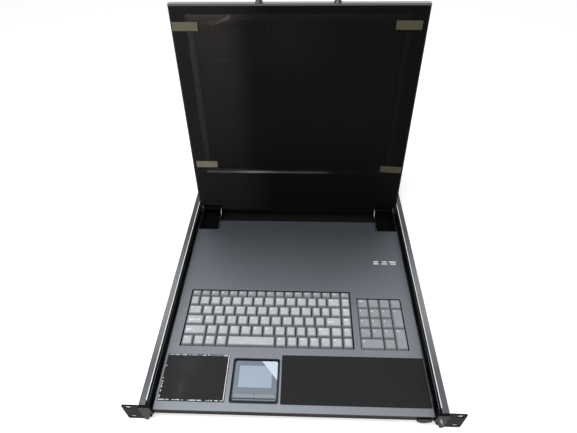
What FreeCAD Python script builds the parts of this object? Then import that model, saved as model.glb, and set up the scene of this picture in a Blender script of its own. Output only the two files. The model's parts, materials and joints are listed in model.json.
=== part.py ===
import FreeCAD, Part
import math
import os
from FreeCAD import Vector

# Rack-mounted console drawer: a keyboard tray on telescopic ball slides with a folding screen lid.
# Millimetres. X runs to the operator's right, Y into the rack, Z up.
# The origin is the centre of the rack mounting plane, on the rear face of the two ears.

# --- rack interface -------------------------------------------------------------------------
panel_width = 482.6        # over both ears
panel_height = 43.7        # one rack unit less its running gap
ear_sheet = 2.0
ear_reach = 23.8           # ear plate outside the fixed rail
ear_slot_inset = 8.75      # slot centres from the panel's ends
ear_slot_pitch_z = 31.75
ear_slot_length = 10.0
ear_slot_width = 6.8
ear_leg_length = 60.0
ear_leg_inset = 8.0        # leg edges stay this far inside the rail's height
ear_corner_radius = 1.5

# --- telescopic slides ----------------------------------------------------------------------
rail_length = 556.0
rail_sheet = 1.5
rail_depth = 10.7
rail_lip = 4.0
rail_bend = 2.2
member_sheet = 1.2
member_bend = 1.8
outer_ball = 2.5
inner_ball = 2.0
ball_play = 0.25           # each side of a ball, between its two tracks
middle_web_gap = 1.3
middle_depth = 6.8
middle_lip = 2.8
inner_web_gap = 1.7
inner_depth = 7.2
cage_sheet = 0.6
rail_engaged = 126.0       # length that stays in the rails with the drawer fully out
middle_front = 4.0
middle_rear_gap = 16.0
cage_front_gap = 7.5       # outer cage to the rail's mouth with the drawer fully out
cage_rear_gap = 115.0      # cages to the middle rail's rear end as stored
cage_gap = 0.4
balls_per_track = 2
bracket_slot_pitch = 30.0
bracket_slot_length = 14.0
bracket_slot_width = 5.2
bracket_slot_from_rear = 41.0
rivet_head = 6.0
rivet_height = 1.4
stop_length = 6.0

# --- drawer ---------------------------------------------------------------------------------
drawer_sheet = 1.2
drawer_gap = 3.2           # from the drawer's side to the inner rail
drawer_front = 1.5
deck_drop = 19.0           # deck surface below the rail tops
deck_sheet = 1.5
pan_drop = 31.0            # underside of the drawer pan below the rail tops
deck_to_pan_rear = 42.0    # open strip between the deck's rear edge and the housing
hinge_bay_depth = 25.0
hinge_bay_gap = 1.2
housing_length = 117.0
housing_rear_gap = 8.0     # housing to the fixed rail's rear end
housing_top_drop = 3.0
housing_bottom_drop = 42.0
spacer_count = 5
spacer_length = 40.0
spacer_height = 8.0
spacer_inset = 12.0        # from the cap's tongue and from the inner rail's rear end
cap_thickness = 3.6
cap_gap = 0.4
cap_tongue = 25.0
cap_nib = (3.4, 3.4, 3.0)  # width, straight length and point of the nib beside the rail's lip
cap_nib_height = 4.2

# --- keyboard -------------------------------------------------------------------------------
keyboard_front = 102.6
key_margin = 16.8          # deck edge to the main opening
pad_margin = 18.4          # deck edge to the number block's opening
pad_width = 76.4
block_gap = 10.1
key_side_gap = 1.35        # keys to the opening's sides
key_end_gap = 1.4
pad_side_gap = 0.6
pad_end_gap = 1.1
key_row = 19.1
key_short_row = 12.6
key_gap = 0.9
key_taper = 1.3
key_height = 4.0
key_drop = 18.2            # key tops below the rail tops
key_travel = 2.0
key_stem = 5.0
stem_play = 0.4
stem_entry = 0.4
key_plate_drop = 24.6
key_plate_sheet = 1.2
key_well_wall = 1.5

# --- palm rest, touchpad and indicators -----------------------------------------------------
palm_thickness = 0.7
palm_left_edge = 3.2       # deck edge to the left pad
palm_left_inner = -99.9
palm_left_y = (14.3, 88.1)
palm_right_edge = 0.8      # deck edge to the right pad
palm_right_inner = -18.2
palm_right_y = (13.3, 89.9)
palm_film_thickness = 0.2
palm_film_margin = 1.0
touch_x = (-93.7, -20.8)
touch_y = (13.4, 83.9)
touch_tub_depth = 8.0
touch_wall = 1.0
touch_moat_x = (4.0, 3.6)   # tub edge to the sensor housing, left and right
touch_moat_y = (5.0, 4.2)   # and at the front and the rear
touch_corner = 4.0
touch_top_drop = 20.0
touch_pad_size = (50.4, 34.6)
touch_pad_centre = (-57.7, 55.0)
touch_button_y = (20.4, 28.6)
touch_button_height = 3.0
touch_button_gap = 0.4
touch_button_travel = 0.8
indicator_from_edge = (50.1, 35.1, 21.2)
indicator_y = 293.5
indicator_diameter = 2.6

# --- release latch --------------------------------------------------------------------------
latch_edge = 2.4           # drawer's side to the thumb tab
latch_width = 21.0
latch_plate_reach = 28.0   # plate beyond the tab, towards the middle
latch_plate_front = 3.0
latch_plate_rear = 20.0
latch_sheet = 1.4
latch_gap = 0.5
latch_tab_top_drop = 24.0
latch_tab_bottom_drop = 36.8
latch_strap = 5.0

# --- lid and hinge --------------------------------------------------------------------------
open_angle = 96.9          # lid angle from closed, as stored
lid_side_gap = 2.8         # lid to the lips of the fixed rails
lid_front_gap = 22.7       # closed lid's far edge behind the rack mounting plane
lid_thickness = 16.4
lid_top_drop = 0.8         # closed lid below the rail tops
lid_heel = 3.0             # lid starts this far from the hinge axis
lid_chamfer = 3.0
lid_sheet = 1.2
bezel_sheet = 1.5
bezel_depth = 7.2
lid_split = 0.3
screen_side_margin = 35.0
screen_height = 270.0
screen_far_margin = 24.0
panel_margin = 12.0
panel_thickness = 7.0
film_margin = 9.0          # film beyond the picture on each side
film_thickness = 0.25
tape_thickness = 0.2
tape_size = (41.0, 13.5)
tape_places = (            # film corner, offset of the tape's centre from it, and turn
    ((-1, 1), (-2.8, -17.7), 0.0),
    ((1, 1), (-4.0, -16.0), -0.6),
    ((-1, -1), (1.8, 18.8), 0.0),
    ((1, -1), (2.0, 10.4), -3.6),
)
hinge_setback = 28.7       # hinge axis behind the deck's rear edge
hinge_pin_radius = 2.5
hinge_running_clearance = 0.06
hinge_barrel_radius = 6.0
hinge_cheek = 1.5
hinge_width = 37.4
hinge_wall_gap = 3.8
hinge_side_gap = 0.5
hinge_notch = 12.0
hinge_leaf = 2.4
hinge_leaf_reach = 55.0
handle_span = 122.4
handle_rise = 26.0
handle_radius = 3.6
handle_foot_radius = 6.8
handle_foot_height = 6.0
handle_bend = 11.0
handle_steps = 4

# --- rear connections -----------------------------------------------------------------------
inlet_from_side = 51.4     # connectors from the housing's left side
inlet_size = (27.0, 19.5)
inlet_flange = (33.0, 25.0)
inlet_wall = 1.6
inlet_depth = 16.0
inlet_pin = (2.0, 4.0, 10.0)
rocker_from_side = 89.4
rocker_size = (13.0, 19.0)
rocker_body_depth = 12.0
rocker_swing = 10.0
video_from_side = 141.4
video_size = (30.8, 12.4)
video_shell = (16.9, 8.4)
vent_count = 18
vent_pitch = 9.0
vent_size = (2.4, 18.0)
vent_start = 10.0
board_width = 220.0
board_end_gap = 18.5
board_shift = 4.0
board_thickness = 1.6
board_post = 6.0
board_parts = (            # place from the board's centre, and size
    ((-60.0, 10.0), (24.0, 24.0, 3.0)),
    ((10.0, 12.0), (16.0, 16.0, 2.4)),
    ((70.0, -14.0), (30.0, 12.0, 8.0)),
)
screw_head = 5.6
screw_height = 1.6
screw_side_inset = 21.4
screw_end_inset = 9.0

# --- facets of small repeated forms ---------------------------------------------------------
corner_facets = 3
fastener_sides = 12
ball_sides = 8

# --- derived levels and planes --------------------------------------------------------------
top = panel_height / 2.0
ear_slot_pitch_x = panel_width - 2.0 * ear_slot_inset
body_width = panel_width - 2.0 * ear_reach
half_body = body_width / 2.0
travel = rail_length - rail_engaged
middle_length = rail_length - middle_front - middle_rear_gap
cage_front = travel / 4.0 + cage_front_gap
cage_length = middle_front + middle_length - cage_rear_gap - cage_front
lip_x = half_body - rail_depth
deck_z = top - deck_drop
pan_z = top - pan_drop
key_top_z = top - key_drop
key_bottom_z = key_top_z - key_height
plate_z = top - key_plate_drop
middle_web_x = half_body - rail_sheet - middle_web_gap
middle_half = top - rail_sheet - outer_ball - 2.0 * ball_play
inner_half = middle_half - member_sheet - inner_ball - 2.0 * ball_play
inner_tip_x = middle_web_x - member_sheet - inner_web_gap
inner_web_x = inner_tip_x - inner_depth
drawer_half = inner_web_x - drawer_gap
housing_rear = rail_length - housing_rear_gap
pan_rear = housing_rear - housing_length
deck_rear = pan_rear - deck_to_pan_rear
hinge_bay_front = deck_rear - hinge_bay_depth
hinge_outer = drawer_half - hinge_wall_gap
hinge_inner = hinge_outer - hinge_width
hinge_bay_inner = hinge_inner - hinge_bay_gap
hinge_axis_y = deck_rear + hinge_setback
pad_opening_x = (drawer_half - pad_margin - pad_width, drawer_half - pad_margin)
pad_opening_y = (keyboard_front, keyboard_front + 5 * key_row + 2.0 * pad_end_gap)
key_opening_x = (key_margin - drawer_half, pad_opening_x[0] - block_gap)
key_opening_y = (keyboard_front, keyboard_front + key_short_row + 5 * key_row + 2.0 * key_end_gap)
palm_left_x = (palm_left_edge - drawer_half, palm_left_inner)
palm_right_x = (palm_right_inner, drawer_half - palm_right_edge)
indicator_x = [drawer_half - edge for edge in indicator_from_edge]
latch_x = (drawer_half - latch_edge - latch_width, drawer_half - latch_edge)
latch_plate_x = (latch_x[0] - latch_plate_reach, latch_x[1] - 3.0)
inlet_x = inlet_from_side - drawer_half
rocker_x = rocker_from_side - drawer_half
video_x = video_from_side - drawer_half
inner_front = drawer_front + 0.5
inner_length = housing_rear - 2.0 - inner_front
hinge_axis_z = top - lid_top_drop - lid_thickness / 2.0
lid_half = lid_thickness / 2.0
lid_width = 2.0 * (lip_x - lid_side_gap)
lid_length = hinge_axis_y - lid_front_gap      # from the hinge axis to the far edge
screen_width = lid_width - 2.0 * screen_side_margin
screen_start = lid_length - screen_far_margin - screen_height
screen_centre = screen_start + screen_height / 2.0
film_width = screen_width + 2.0 * film_margin
film_height = screen_height + 2.0 * film_margin
board_depth = housing_length - 2.0 * board_end_gap


def box(x, y, z):
    """A block from three (low, high) pairs."""
    return Part.makeBox(x[1] - x[0], y[1] - y[0], z[1] - z[0], Vector(x[0], y[0], z[0]))


def faceted_wire(low, high, radius, place):
    """A rectangle whose corners are rounded in flat steps, for small or hidden pieces."""
    points = []
    centres = ((high[0] - radius, low[1] + radius), (high[0] - radius, high[1] - radius),
               (low[0] + radius, high[1] - radius), (low[0] + radius, low[1] + radius))
    for n, (cu, cv) in enumerate(centres):
        for step in range(corner_facets + 1):
            a = math.radians(90.0 * (n - 1 + step / corner_facets))
            points.append(place(cu + radius * math.cos(a), cv + radius * math.sin(a)))
    return Part.makePolygon(points + [points[0]])


def rounded_wire(low, high, radius, place):
    """A rounded rectangle through place(u, v), which lifts plane points into space."""
    (u0, v0), (u1, v1) = low, high
    k = radius * (1.0 - math.sqrt(0.5))
    edges = []
    corners = [
        ((u1 - radius, v0), (u1 - k, v0 + k), (u1, v0 + radius)),
        ((u1, v1 - radius), (u1 - k, v1 - k), (u1 - radius, v1)),
        ((u0 + radius, v1), (u0 + k, v1 - k), (u0, v1 - radius)),
        ((u0, v0 + radius), (u0 + k, v0 + k), (u0 + radius, v0)),
    ]
    last = place(*corners[-1][2])
    for start, middle, end in corners:
        a, b, c = place(*start), place(*middle), place(*end)
        if last.distanceToPoint(a) > 1e-6:
            edges.append(Part.LineSegment(last, a).toShape())
        edges.append(Part.Arc(a, b, c).toShape())
        last = c
    return Part.Wire(edges)


def rounded_block(x, y, z, radius):
    """A block whose four upright edges are rounded."""
    wire = faceted_wire((x[0], y[0]), (x[1], y[1]), radius, lambda u, v: Vector(u, v, z[0]))
    return Part.Face(wire).extrude(Vector(0, 0, z[1] - z[0]))


def rounded_bar(x, z, y, radius, wire_of=None):
    """A block along Y whose four long edges are rounded."""
    wire = (wire_of or faceted_wire)((x[0], z[0]), (x[1], z[1]), radius, lambda u, v: Vector(u, y[0], v))
    return Part.Face(wire).extrude(Vector(0, y[1] - y[0], 0))


def prism(points, along):
    """A solid swept from a closed polygon."""
    wire = Part.makePolygon([Vector(*p) for p in points] + [Vector(*points[0])])
    return Part.Face(wire).extrude(Vector(*along))


def rod_x(x, y, z, radius):
    return Part.makeCylinder(radius, x[1] - x[0], Vector(x[0], y, z), Vector(1, 0, 0))


def rod_y(x, y, z, radius):
    return Part.makeCylinder(radius, y[1] - y[0], Vector(x, y[0], z), Vector(0, 1, 0))


def rod_z(x, y, z, radius):
    return Part.makeCylinder(radius, z[1] - z[0], Vector(x, y, z[0]), Vector(0, 0, 1))


def disc(centre, axis, radius, height, sides):
    """A regular prism for a small fastener, its base centred on a point."""
    ring = Part.makeCircle(radius, Vector(*centre), Vector(*axis)).discretize(sides + 1)
    ring[-1] = ring[0]
    return Part.Face(Part.makePolygon(ring)).extrude(Vector(*axis) * height)


def mirrored(shape):
    """The same piece for the other side of the drawer."""
    return shape.mirror(Vector(0, 0, 0), Vector(1, 0, 0))


def write(node, *solids):
    """One STEP file for one named piece, or for a group of like solids."""
    shape = solids[0] if len(solids) == 1 else Part.makeCompound(list(solids))
    shape.exportStep(os.path.join("parts", node + ".step"))


def write_pair(node, right):
    write(node + "_right", right)
    write(node + "_left", mirrored(right))


def open_lid(shape):
    """Lid pieces are drawn closed and turned up to the stored angle."""
    turned = shape.copy()
    turned.rotate(Vector(0, hinge_axis_y, hinge_axis_z), Vector(1, 0, 0), -open_angle)
    return turned


def lid_box(x, s, w):
    """A block on the closed lid: s runs out from the hinge axis, w from screen side to back."""
    return box(x, (hinge_axis_y - s[1], hinge_axis_y - s[0]), (hinge_axis_z + w[0], hinge_axis_z + w[1]))


# --- slides ---------------------------------------------------------------------------------
def channel(x, half, y, sheet, lip, bend, wire_of=None):
    """A lipped C section along Y, open towards smaller X."""
    shell = rounded_bar(x, (-half, half), y, bend, wire_of)
    room = rounded_bar((x[0] + sheet, x[1] - sheet), (sheet - half, half - sheet), y, bend - sheet, wire_of)
    mouth = box((x[0] - 1, x[0] + sheet + bend), y, (lip - half, half - lip))
    return shell.cut(room).cut(mouth)


def fixed_rail():
    rail = channel((lip_x, half_body), top, (0.0, rail_length), rail_sheet, rail_lip, rail_bend, rounded_wire)
    for step in (-0.5, 0.5):
        y = rail_length - bracket_slot_from_rear + step * bracket_slot_pitch
        rail = rail.cut(slot_x(y, 0.0, bracket_slot_length, bracket_slot_width))
    return rail


def slot_x(y, z, length, width):
    """A cutter for a slot along Y through the fixed rail's web."""
    reach = (length - width) / 2.0
    x = (half_body - rail_sheet - 1.0, half_body + 1.0)
    core = box(x, (y - reach, y + reach), (z - width / 2.0, z + width / 2.0))
    ends = [rod_x(x, y + side * reach, z, width / 2.0) for side in (-1, 1)]
    return core.fuse(ends)


def middle_rail():
    x = (middle_web_x - middle_depth, middle_web_x)
    y = (middle_front, middle_front + middle_length)
    return channel(x, middle_half, y, member_sheet, middle_lip, member_bend)


def inner_rail():
    """A plain C section whose web lies on the drawer and whose flanges reach outwards."""
    y = (inner_front, inner_front + inner_length)
    shell = rounded_bar((inner_web_x, inner_tip_x + member_bend), (-inner_half, inner_half), y, member_bend)
    room = box((inner_web_x + member_sheet, inner_tip_x + 2 * member_bend), y,
               (member_sheet - inner_half, inner_half - member_sheet))
    tips = box((inner_tip_x, inner_tip_x + 2 * member_bend), y, (-inner_half - 1, inner_half + 1))
    return shell.cut(room).cut(tips)


def steel_ball(radius, centre):
    """A ball in flat facets: two small and two large rings joined by straight sides."""
    rings = []
    for tilt in (-67.5, -22.5, 22.5, 67.5):
        a = math.radians(tilt)
        ring = Part.makeCircle(radius * math.cos(a), centre + Vector(0, 0, radius * math.sin(a)), Vector(0, 0, 1))
        rings.append(ring.discretize(ball_sides + 1)[:-1])
    return faceted_solid(rings)


def faceted_solid(rings):
    """A closed solid of flat faces between matching rings of points, capped at both ends."""
    faces = [Part.Face(Part.makePolygon(ring + [ring[0]])) for ring in (rings[0], rings[-1])]
    for low, high in zip(rings, rings[1:]):
        count = len(low)
        for n in range(count):
            m = (n + 1) % count
            faces.append(Part.Face(Part.makePolygon([low[n], low[m], high[m], high[n], low[n]])))
    solid = Part.Solid(Part.Shell(faces))
    if solid.Volume < 0:
        solid.reverse()
    return solid


def ball_cage(web_x, strip_x, track_z, ball, ball_x):
    """A C-shaped strip with pockets, and its balls as loose solids."""
    y = (cage_front, cage_front + cage_length)
    web = box((web_x - cage_sheet, web_x), y, (-track_z - cage_sheet / 2.0, track_z + cage_sheet / 2.0))
    cage = web
    balls = []
    for side in (-1, 1):
        z = side * track_z
        cage = cage.fuse(box((strip_x, web_x), y, (z - cage_sheet / 2.0, z + cage_sheet / 2.0)))
        for n in range(balls_per_track):
            ball_y = y[0] + cage_length * (n + 0.5) / balls_per_track
            pocket = disc((ball_x, ball_y, z - cage_sheet), (0, 0, 1), ball / 2.0 + 0.3, 2 * cage_sheet, ball_sides)
            cage = cage.cut(pocket)
            balls.append(steel_ball(ball / 2.0, Vector(ball_x, ball_y, z)))
    return Part.makeCompound([cage.removeSplitter()] + balls)


def outer_cage():
    track_z = top - rail_sheet - ball_play - outer_ball / 2.0
    web_x = half_body - rail_sheet - (middle_web_gap - cage_sheet) / 2.0
    strip_x = lip_x + rail_sheet + cage_gap
    return ball_cage(web_x, strip_x, track_z, outer_ball, (strip_x + web_x - cage_sheet) / 2.0)


def inner_cage():
    track_z = middle_half - member_sheet - ball_play - inner_ball / 2.0
    web_x = inner_tip_x + (inner_web_gap + cage_sheet) / 2.0
    strip_x = middle_web_x - middle_depth + member_sheet + cage_gap
    return ball_cage(web_x, strip_x, track_z, inner_ball, (strip_x + web_x - cage_sheet) / 2.0)


def rear_stop():
    """A plastic block in the closed end of the fixed rail."""
    x = (lip_x + rail_sheet, half_body - rail_sheet)
    return box(x, (rail_length - stop_length, rail_length), (rail_lip - top, top - rail_lip))


def rack_ear():
    z = (-top, top)
    plate = rounded_bar((half_body, panel_width / 2.0), z, (-ear_sheet, 0.0), ear_corner_radius)
    leg = box((half_body, half_body + ear_sheet), (-ear_sheet, ear_leg_length),
              (ear_leg_inset - top, top - ear_leg_inset))
    ear = plate.fuse(leg)
    reach = (ear_slot_length - ear_slot_width) / 2.0
    for side in (-1, 1):
        z0 = side * ear_slot_pitch_z / 2.0
        x0 = ear_slot_pitch_x / 2.0
        y = (-ear_sheet - 1.0, 1.0)
        slot = box((x0 - reach, x0 + reach), y, (z0 - ear_slot_width / 2.0, z0 + ear_slot_width / 2.0))
        slot = slot.fuse([rod_y(x0 + end * reach, y, z0, ear_slot_width / 2.0) for end in (-1, 1)])
        ear = ear.cut(slot)
    return ear.removeSplitter()


def ear_rivets():
    rivets = []
    for y in (ear_leg_length * 0.2, ear_leg_length * 0.5, ear_leg_length * 0.8):
        face = half_body + ear_sheet
        rivets.append(disc((face, y, 0.0), (1, 0, 0), rivet_head / 2.0, rivet_height, fastener_sides))
    return rivets


# --- drawer shell ---------------------------------------------------------------------------
def drawer_pan():
    """Folded tray: floor, two sides and the low front wall."""
    outside = box((-drawer_half, drawer_half), (drawer_front, pan_rear), (pan_z, deck_z - deck_sheet))
    inside = box((drawer_sheet - drawer_half, drawer_half - drawer_sheet),
                 (drawer_front + drawer_sheet, pan_rear + 1.0), (pan_z + drawer_sheet, deck_z))
    return outside.cut(inside)


def keyboard_deck():
    """Top plate with the key, touchpad and hinge openings, and its folded rear skirt."""
    z = (deck_z - deck_sheet, deck_z)
    deck = box((-drawer_half, drawer_half), (drawer_front, deck_rear), z)
    for side in (-1, 1):
        x = sorted((side * hinge_bay_inner, side * (drawer_half + 1.0)))
        deck = deck.cut(box(x, (hinge_bay_front, deck_rear + 1.0), (z[0] - 1, z[1] + 1)))
    for x, y in ((key_opening_x, key_opening_y), (pad_opening_x, pad_opening_y)):
        deck = deck.cut(box(x, y, (z[0] - 1, z[1] + 1)))
    deck = deck.cut(rounded_block(touch_x, touch_y, (z[0] - 1, z[1] + 1), touch_corner))
    for x in indicator_x:
        deck = deck.cut(disc((x, indicator_y, z[0] - 1), (0, 0, 1), indicator_diameter / 2.0, deck_sheet + 2, ball_sides))
    return deck.fuse(deck_skirt(z[0])).removeSplitter()


def deck_skirt(z):
    """The fold that closes the deck's rear edge, round both hinge bays."""
    low = pan_z + drawer_sheet
    t = drawer_sheet
    inner = hinge_bay_inner
    wall = drawer_half - drawer_sheet
    pieces = [box((-inner, inner), (deck_rear - t, deck_rear), (low, z))]
    for side in (-1, 1):
        x = sorted((side * (inner - t), side * inner))
        pieces.append(box(x, (hinge_bay_front - t, deck_rear), (low, z)))
        x = sorted((side * (inner - t), side * wall))
        pieces.append(box(x, (hinge_bay_front - t, hinge_bay_front), (low, z)))
    return pieces


def corner_cap():
    """Moulded end cap on the drawer's front corner, ahead of the slide's open end."""
    outer = half_body - cap_gap
    inner = drawer_half - 1.4
    y = drawer_front - cap_thickness - 1.9
    lean = 4.0
    start = Vector(inner, y, top - 11.0)
    bow = Vector(inner + 5.2, y, top - 27.0)
    foot = Vector(outer - 5.5, y, 0.6 - top)
    edges = [
        Part.Arc(start, bow, foot).toShape(),
        Part.LineSegment(foot, Vector(outer - lean, y, 0.6 - top)).toShape(),
        Part.Arc(Vector(outer - lean, y, 0.6 - top), Vector(outer - 1.0, y, 3.6 - top),
                 Vector(outer, y, 8.0 - top)).toShape(),
        Part.LineSegment(Vector(outer, y, 8.0 - top), Vector(outer, y, top - 0.6)).toShape(),
        Part.LineSegment(Vector(outer, y, top - 0.6), Vector(drawer_half + 0.6, y, top - 0.6)).toShape(),
        Part.LineSegment(Vector(drawer_half + 0.6, y, top - 0.6), start).toShape(),
    ]
    face = Part.Face(Part.Wire(edges)).extrude(Vector(0, cap_thickness, 0))
    tongue = box((drawer_half, drawer_half + drawer_gap - 0.3), (y + cap_thickness - 0.5, cap_tongue),
                 (pan_z + 1.0, deck_z - 3.0))
    w, straight, point = cap_nib
    x = (lip_x - cap_gap - w, lip_x - cap_gap)
    y = y + cap_thickness
    nib = prism([(x[0], y - 0.5, top - 0.6), (x[0], y + straight, top - 0.6), ((x[0] + x[1]) / 2.0, y + straight + point, top - 0.6),
                 (x[1], y + straight, top - 0.6), (x[1], y - 0.5, top - 0.6)], (0, 0, -cap_nib_height))
    return face.fuse([tongue, nib]).removeSplitter()


def rail_spacers():
    """Blocks that carry the inner rails off the drawer's sides."""
    blocks = []
    first = cap_tongue + spacer_inset
    last = inner_front + inner_length - spacer_inset - spacer_length
    z = (pan_z + 0.8, pan_z + 0.8 + spacer_height)
    for n in range(spacer_count):
        y0 = first + (last - first) * n / (spacer_count - 1)
        right = box((drawer_half, drawer_half + drawer_gap), (y0, y0 + spacer_length), z)
        blocks += [right, mirrored(right)]
    return blocks


# --- keyboard -------------------------------------------------------------------------------
def row_cells(widths, start, y):
    """Key cells of one row from their widths, as ((x0, x1), (y0, y1))."""
    cells = []
    x = start
    for width in widths:
        cells.append(((x, x + width), y))
        x += width
    return cells


def fitted(shares, opening, gap):
    """Key widths that fill an opening between two side gaps, in these proportions."""
    room = opening[1] - opening[0] - 2.0 * gap
    return [share * room / sum(shares) for share in shares]


def key_rows():
    """The main block's cells by row, from the short top row down to the space bar's row."""
    std = 18.8
    nav = 16.4
    shares = [
        [std] * 17,
        [16.0] + [std] * 10 + [17.2, 17.2, 23.6, nav],
        [24.0] + [std] * 10 + [15.6, 16.2, 18.2, nav],
        [30.0] + [std] * 9 + [18.0, 17.2, 27.6, nav],
        [37.2] + [std] * 7 + [16.6, 17.2, 17.2, 23.2, 19.0, nav],
        [18.6] * 4 + [78.0] + [18.15] * 4 + [18.0, 19.0, nav],
    ]
    rows = []
    y1 = key_opening_y[1] - key_end_gap
    for n, row in enumerate(shares):
        depth = key_row if n else key_short_row
        widths = fitted(row, key_opening_x, key_side_gap)
        rows.append(row_cells(widths, key_opening_x[0] + key_side_gap, (y1 - depth, y1)))
        y1 -= depth
    return rows


def numpad_cells():
    """Five rows of a number block, with its two tall keys and its wide zero."""
    w = fitted([1.0] * 4, pad_opening_x, pad_side_gap)[0]
    start = pad_opening_x[0] + pad_side_gap
    y1 = pad_opening_y[1] - pad_end_gap
    row = [(y1 - (n + 1) * key_row, y1 - n * key_row) for n in range(5)]
    cells = row_cells([w] * 4, start, row[0])
    for n in (1, 2, 3):
        cells += row_cells([w] * 3, start, row[n])
    cells += row_cells([2 * w, w], start, row[4])
    tall = (start + 3 * w, start + 4 * w)
    cells.append((tall, (row[2][0], row[1][1])))
    cells.append((tall, (row[4][0], row[3][1])))
    return cells


def corner_ring(x, y, z):
    return [Vector(x[0], y[0], z), Vector(x[1], y[0], z), Vector(x[1], y[1], z), Vector(x[0], y[1], z)]


def keycap(cell):
    """A tapered cap and the stem that runs in the key plate."""
    (x0, x1), (y0, y1) = cell
    g = key_gap / 2.0
    t = g + key_taper
    foot = corner_ring((x0 + g, x1 - g), (y0 + g, y1 - g), key_bottom_z)
    face = corner_ring((x0 + t, x1 - t), (y0 + t, y1 - t), key_top_z)
    cap = faceted_solid([foot, face])
    cx, cy, half = (x0 + x1) / 2.0, (y0 + y1) / 2.0, key_stem / 2.0
    stem = box((cx - half, cx + half), (cy - half, cy + half), (plate_z - stem_entry, key_bottom_z))
    return cap.fuse(stem).removeSplitter()


def key_plate(cells, opening_x, opening_y):
    """The guide plate under one block of keys, with the wall of its well and a slot for each row of stems."""
    w = key_well_wall
    x = (opening_x[0] - w, opening_x[1] + w)
    y = (opening_y[0] - w, opening_y[1] + w)
    low = plate_z - key_plate_sheet
    plate = box(x, y, (low, deck_z - deck_sheet)).cut(box(opening_x, opening_y, (plate_z, deck_z)))
    half = key_stem / 2.0 + stem_play
    middles = {}
    for (x0, x1), (y0, y1) in cells:
        middles.setdefault(round((y0 + y1) / 2.0, 3), []).append((x0 + x1) / 2.0)
    holes = [box((min(xs) - half, max(xs) + half), (y - half, y + half), (low - 1, plate_z + 1))
             for y, xs in middles.items()]
    return plate.cut(Part.makeCompound(holes))


def plate_feet(opening_x, opening_y):
    """Posts between the key plate and the pan floor."""
    low, high = pan_z + drawer_sheet, plate_z - key_plate_sheet
    half = 2.0
    inset = half + 0.4
    posts = []
    for x in (opening_x[0] + inset, opening_x[1] - inset):
        for y in (opening_y[0] + inset, opening_y[1] - inset):
            posts.append(box((x - half, x + half), (y - half, y + half), (low, high)))
    return posts


# --- palm rest, touchpad, indicators and latch ----------------------------------------------
def touchpad_tub():
    z = (deck_z - touch_tub_depth, deck_z - 0.4)
    tub = rounded_block(touch_x, touch_y, z, touch_corner)
    x = (touch_x[0] + touch_wall, touch_x[1] - touch_wall)
    y = (touch_y[0] + touch_wall, touch_y[1] - touch_wall)
    return tub.cut(rounded_block(x, y, (z[0] + touch_wall, z[1] + 1), touch_corner - touch_wall))


def touchpad_module():
    """The sensor's housing on the tub floor, with the sensor's pocket and the buttons' bay."""
    z = (deck_z - touch_tub_depth + touch_wall, top - touch_top_drop)
    x = (touch_x[0] + touch_moat_x[0], touch_x[1] - touch_moat_x[1])
    y = (touch_y[0] + touch_moat_y[0], touch_y[1] - touch_moat_y[1])
    body = rounded_block(x, y, z, 3.0)
    pad_x, pad_y = pad_area()
    body = body.cut(box(pad_x, pad_y, (z[1] - 0.9, z[1] + 1)))
    bay = box((x[0] + 1.2, x[1] - 1.2), touch_button_y, (z[0] + 1.2, z[1] + 1))
    return body.cut(bay), x


def pad_area():
    cx, cy = touch_pad_centre
    w, h = touch_pad_size
    return (cx - w / 2.0, cx + w / 2.0), (cy - h / 2.0, cy + h / 2.0)


def touchpad_buttons(module_x):
    """Left and right buttons in the module's bay, under one named gap."""
    g = touch_button_gap
    x0, x1 = module_x[0] + 1.2 + g, module_x[1] - 1.2 - g
    middle = (x0 + x1) / 2.0
    z1 = top - touch_top_drop + 0.4
    z = (z1 - touch_button_height, z1)
    y = (touch_button_y[0] + g, touch_button_y[1] - g)
    left = rounded_block((x0, middle - g / 2.0), y, z, 1.2)
    right = rounded_block((middle + g / 2.0, x1), y, z, 1.2)
    return left, right


def release_latch():
    """Sliding plate under the pan with a thumb tab in front of the drawer."""
    z1 = pan_z - latch_gap
    z0 = z1 - latch_sheet
    front = drawer_front - latch_gap - latch_sheet
    x0, x1 = latch_x
    plate = box(latch_plate_x, (latch_plate_front, latch_plate_rear), (z0, z1))
    plate = plate.fuse(box((x0, latch_plate_x[1]), (front, latch_plate_rear), (z0, z1)))
    lean = 6.0
    low, high = top - latch_tab_bottom_drop, top - latch_tab_top_drop
    tab = prism([(x0, front, high), (x1, front, high), (x1, front, z0), (x1 - lean, front, low + 1.5),
                 (x1 - lean - 3.0, front, low), (x0 + lean + 1.5, front, low),
                 (x0 + lean - 1.5, front, low + 1.5), (x0, front, z0)], (0, latch_sheet, 0))
    return plate.fuse(tab).removeSplitter()


def latch_straps():
    """Two guides that hold the latch plate up against the pan."""
    z1 = pan_z
    z0 = z1 - 2 * latch_gap - latch_sheet
    straps = []
    for x0 in (latch_plate_x[0] + 8.0, latch_plate_x[0] + 20.0):
        x = (x0, x0 + latch_strap)
        yoke = box(x, (latch_plate_front + 3.0, latch_plate_rear + 6.0), (z0 - 1.0, z1))
        yoke = yoke.cut(box((x[0] - 1, x[1] + 1), (latch_plate_front, latch_plate_rear + latch_gap), (z0, z1)))
        straps.append(yoke)
    return straps


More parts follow.
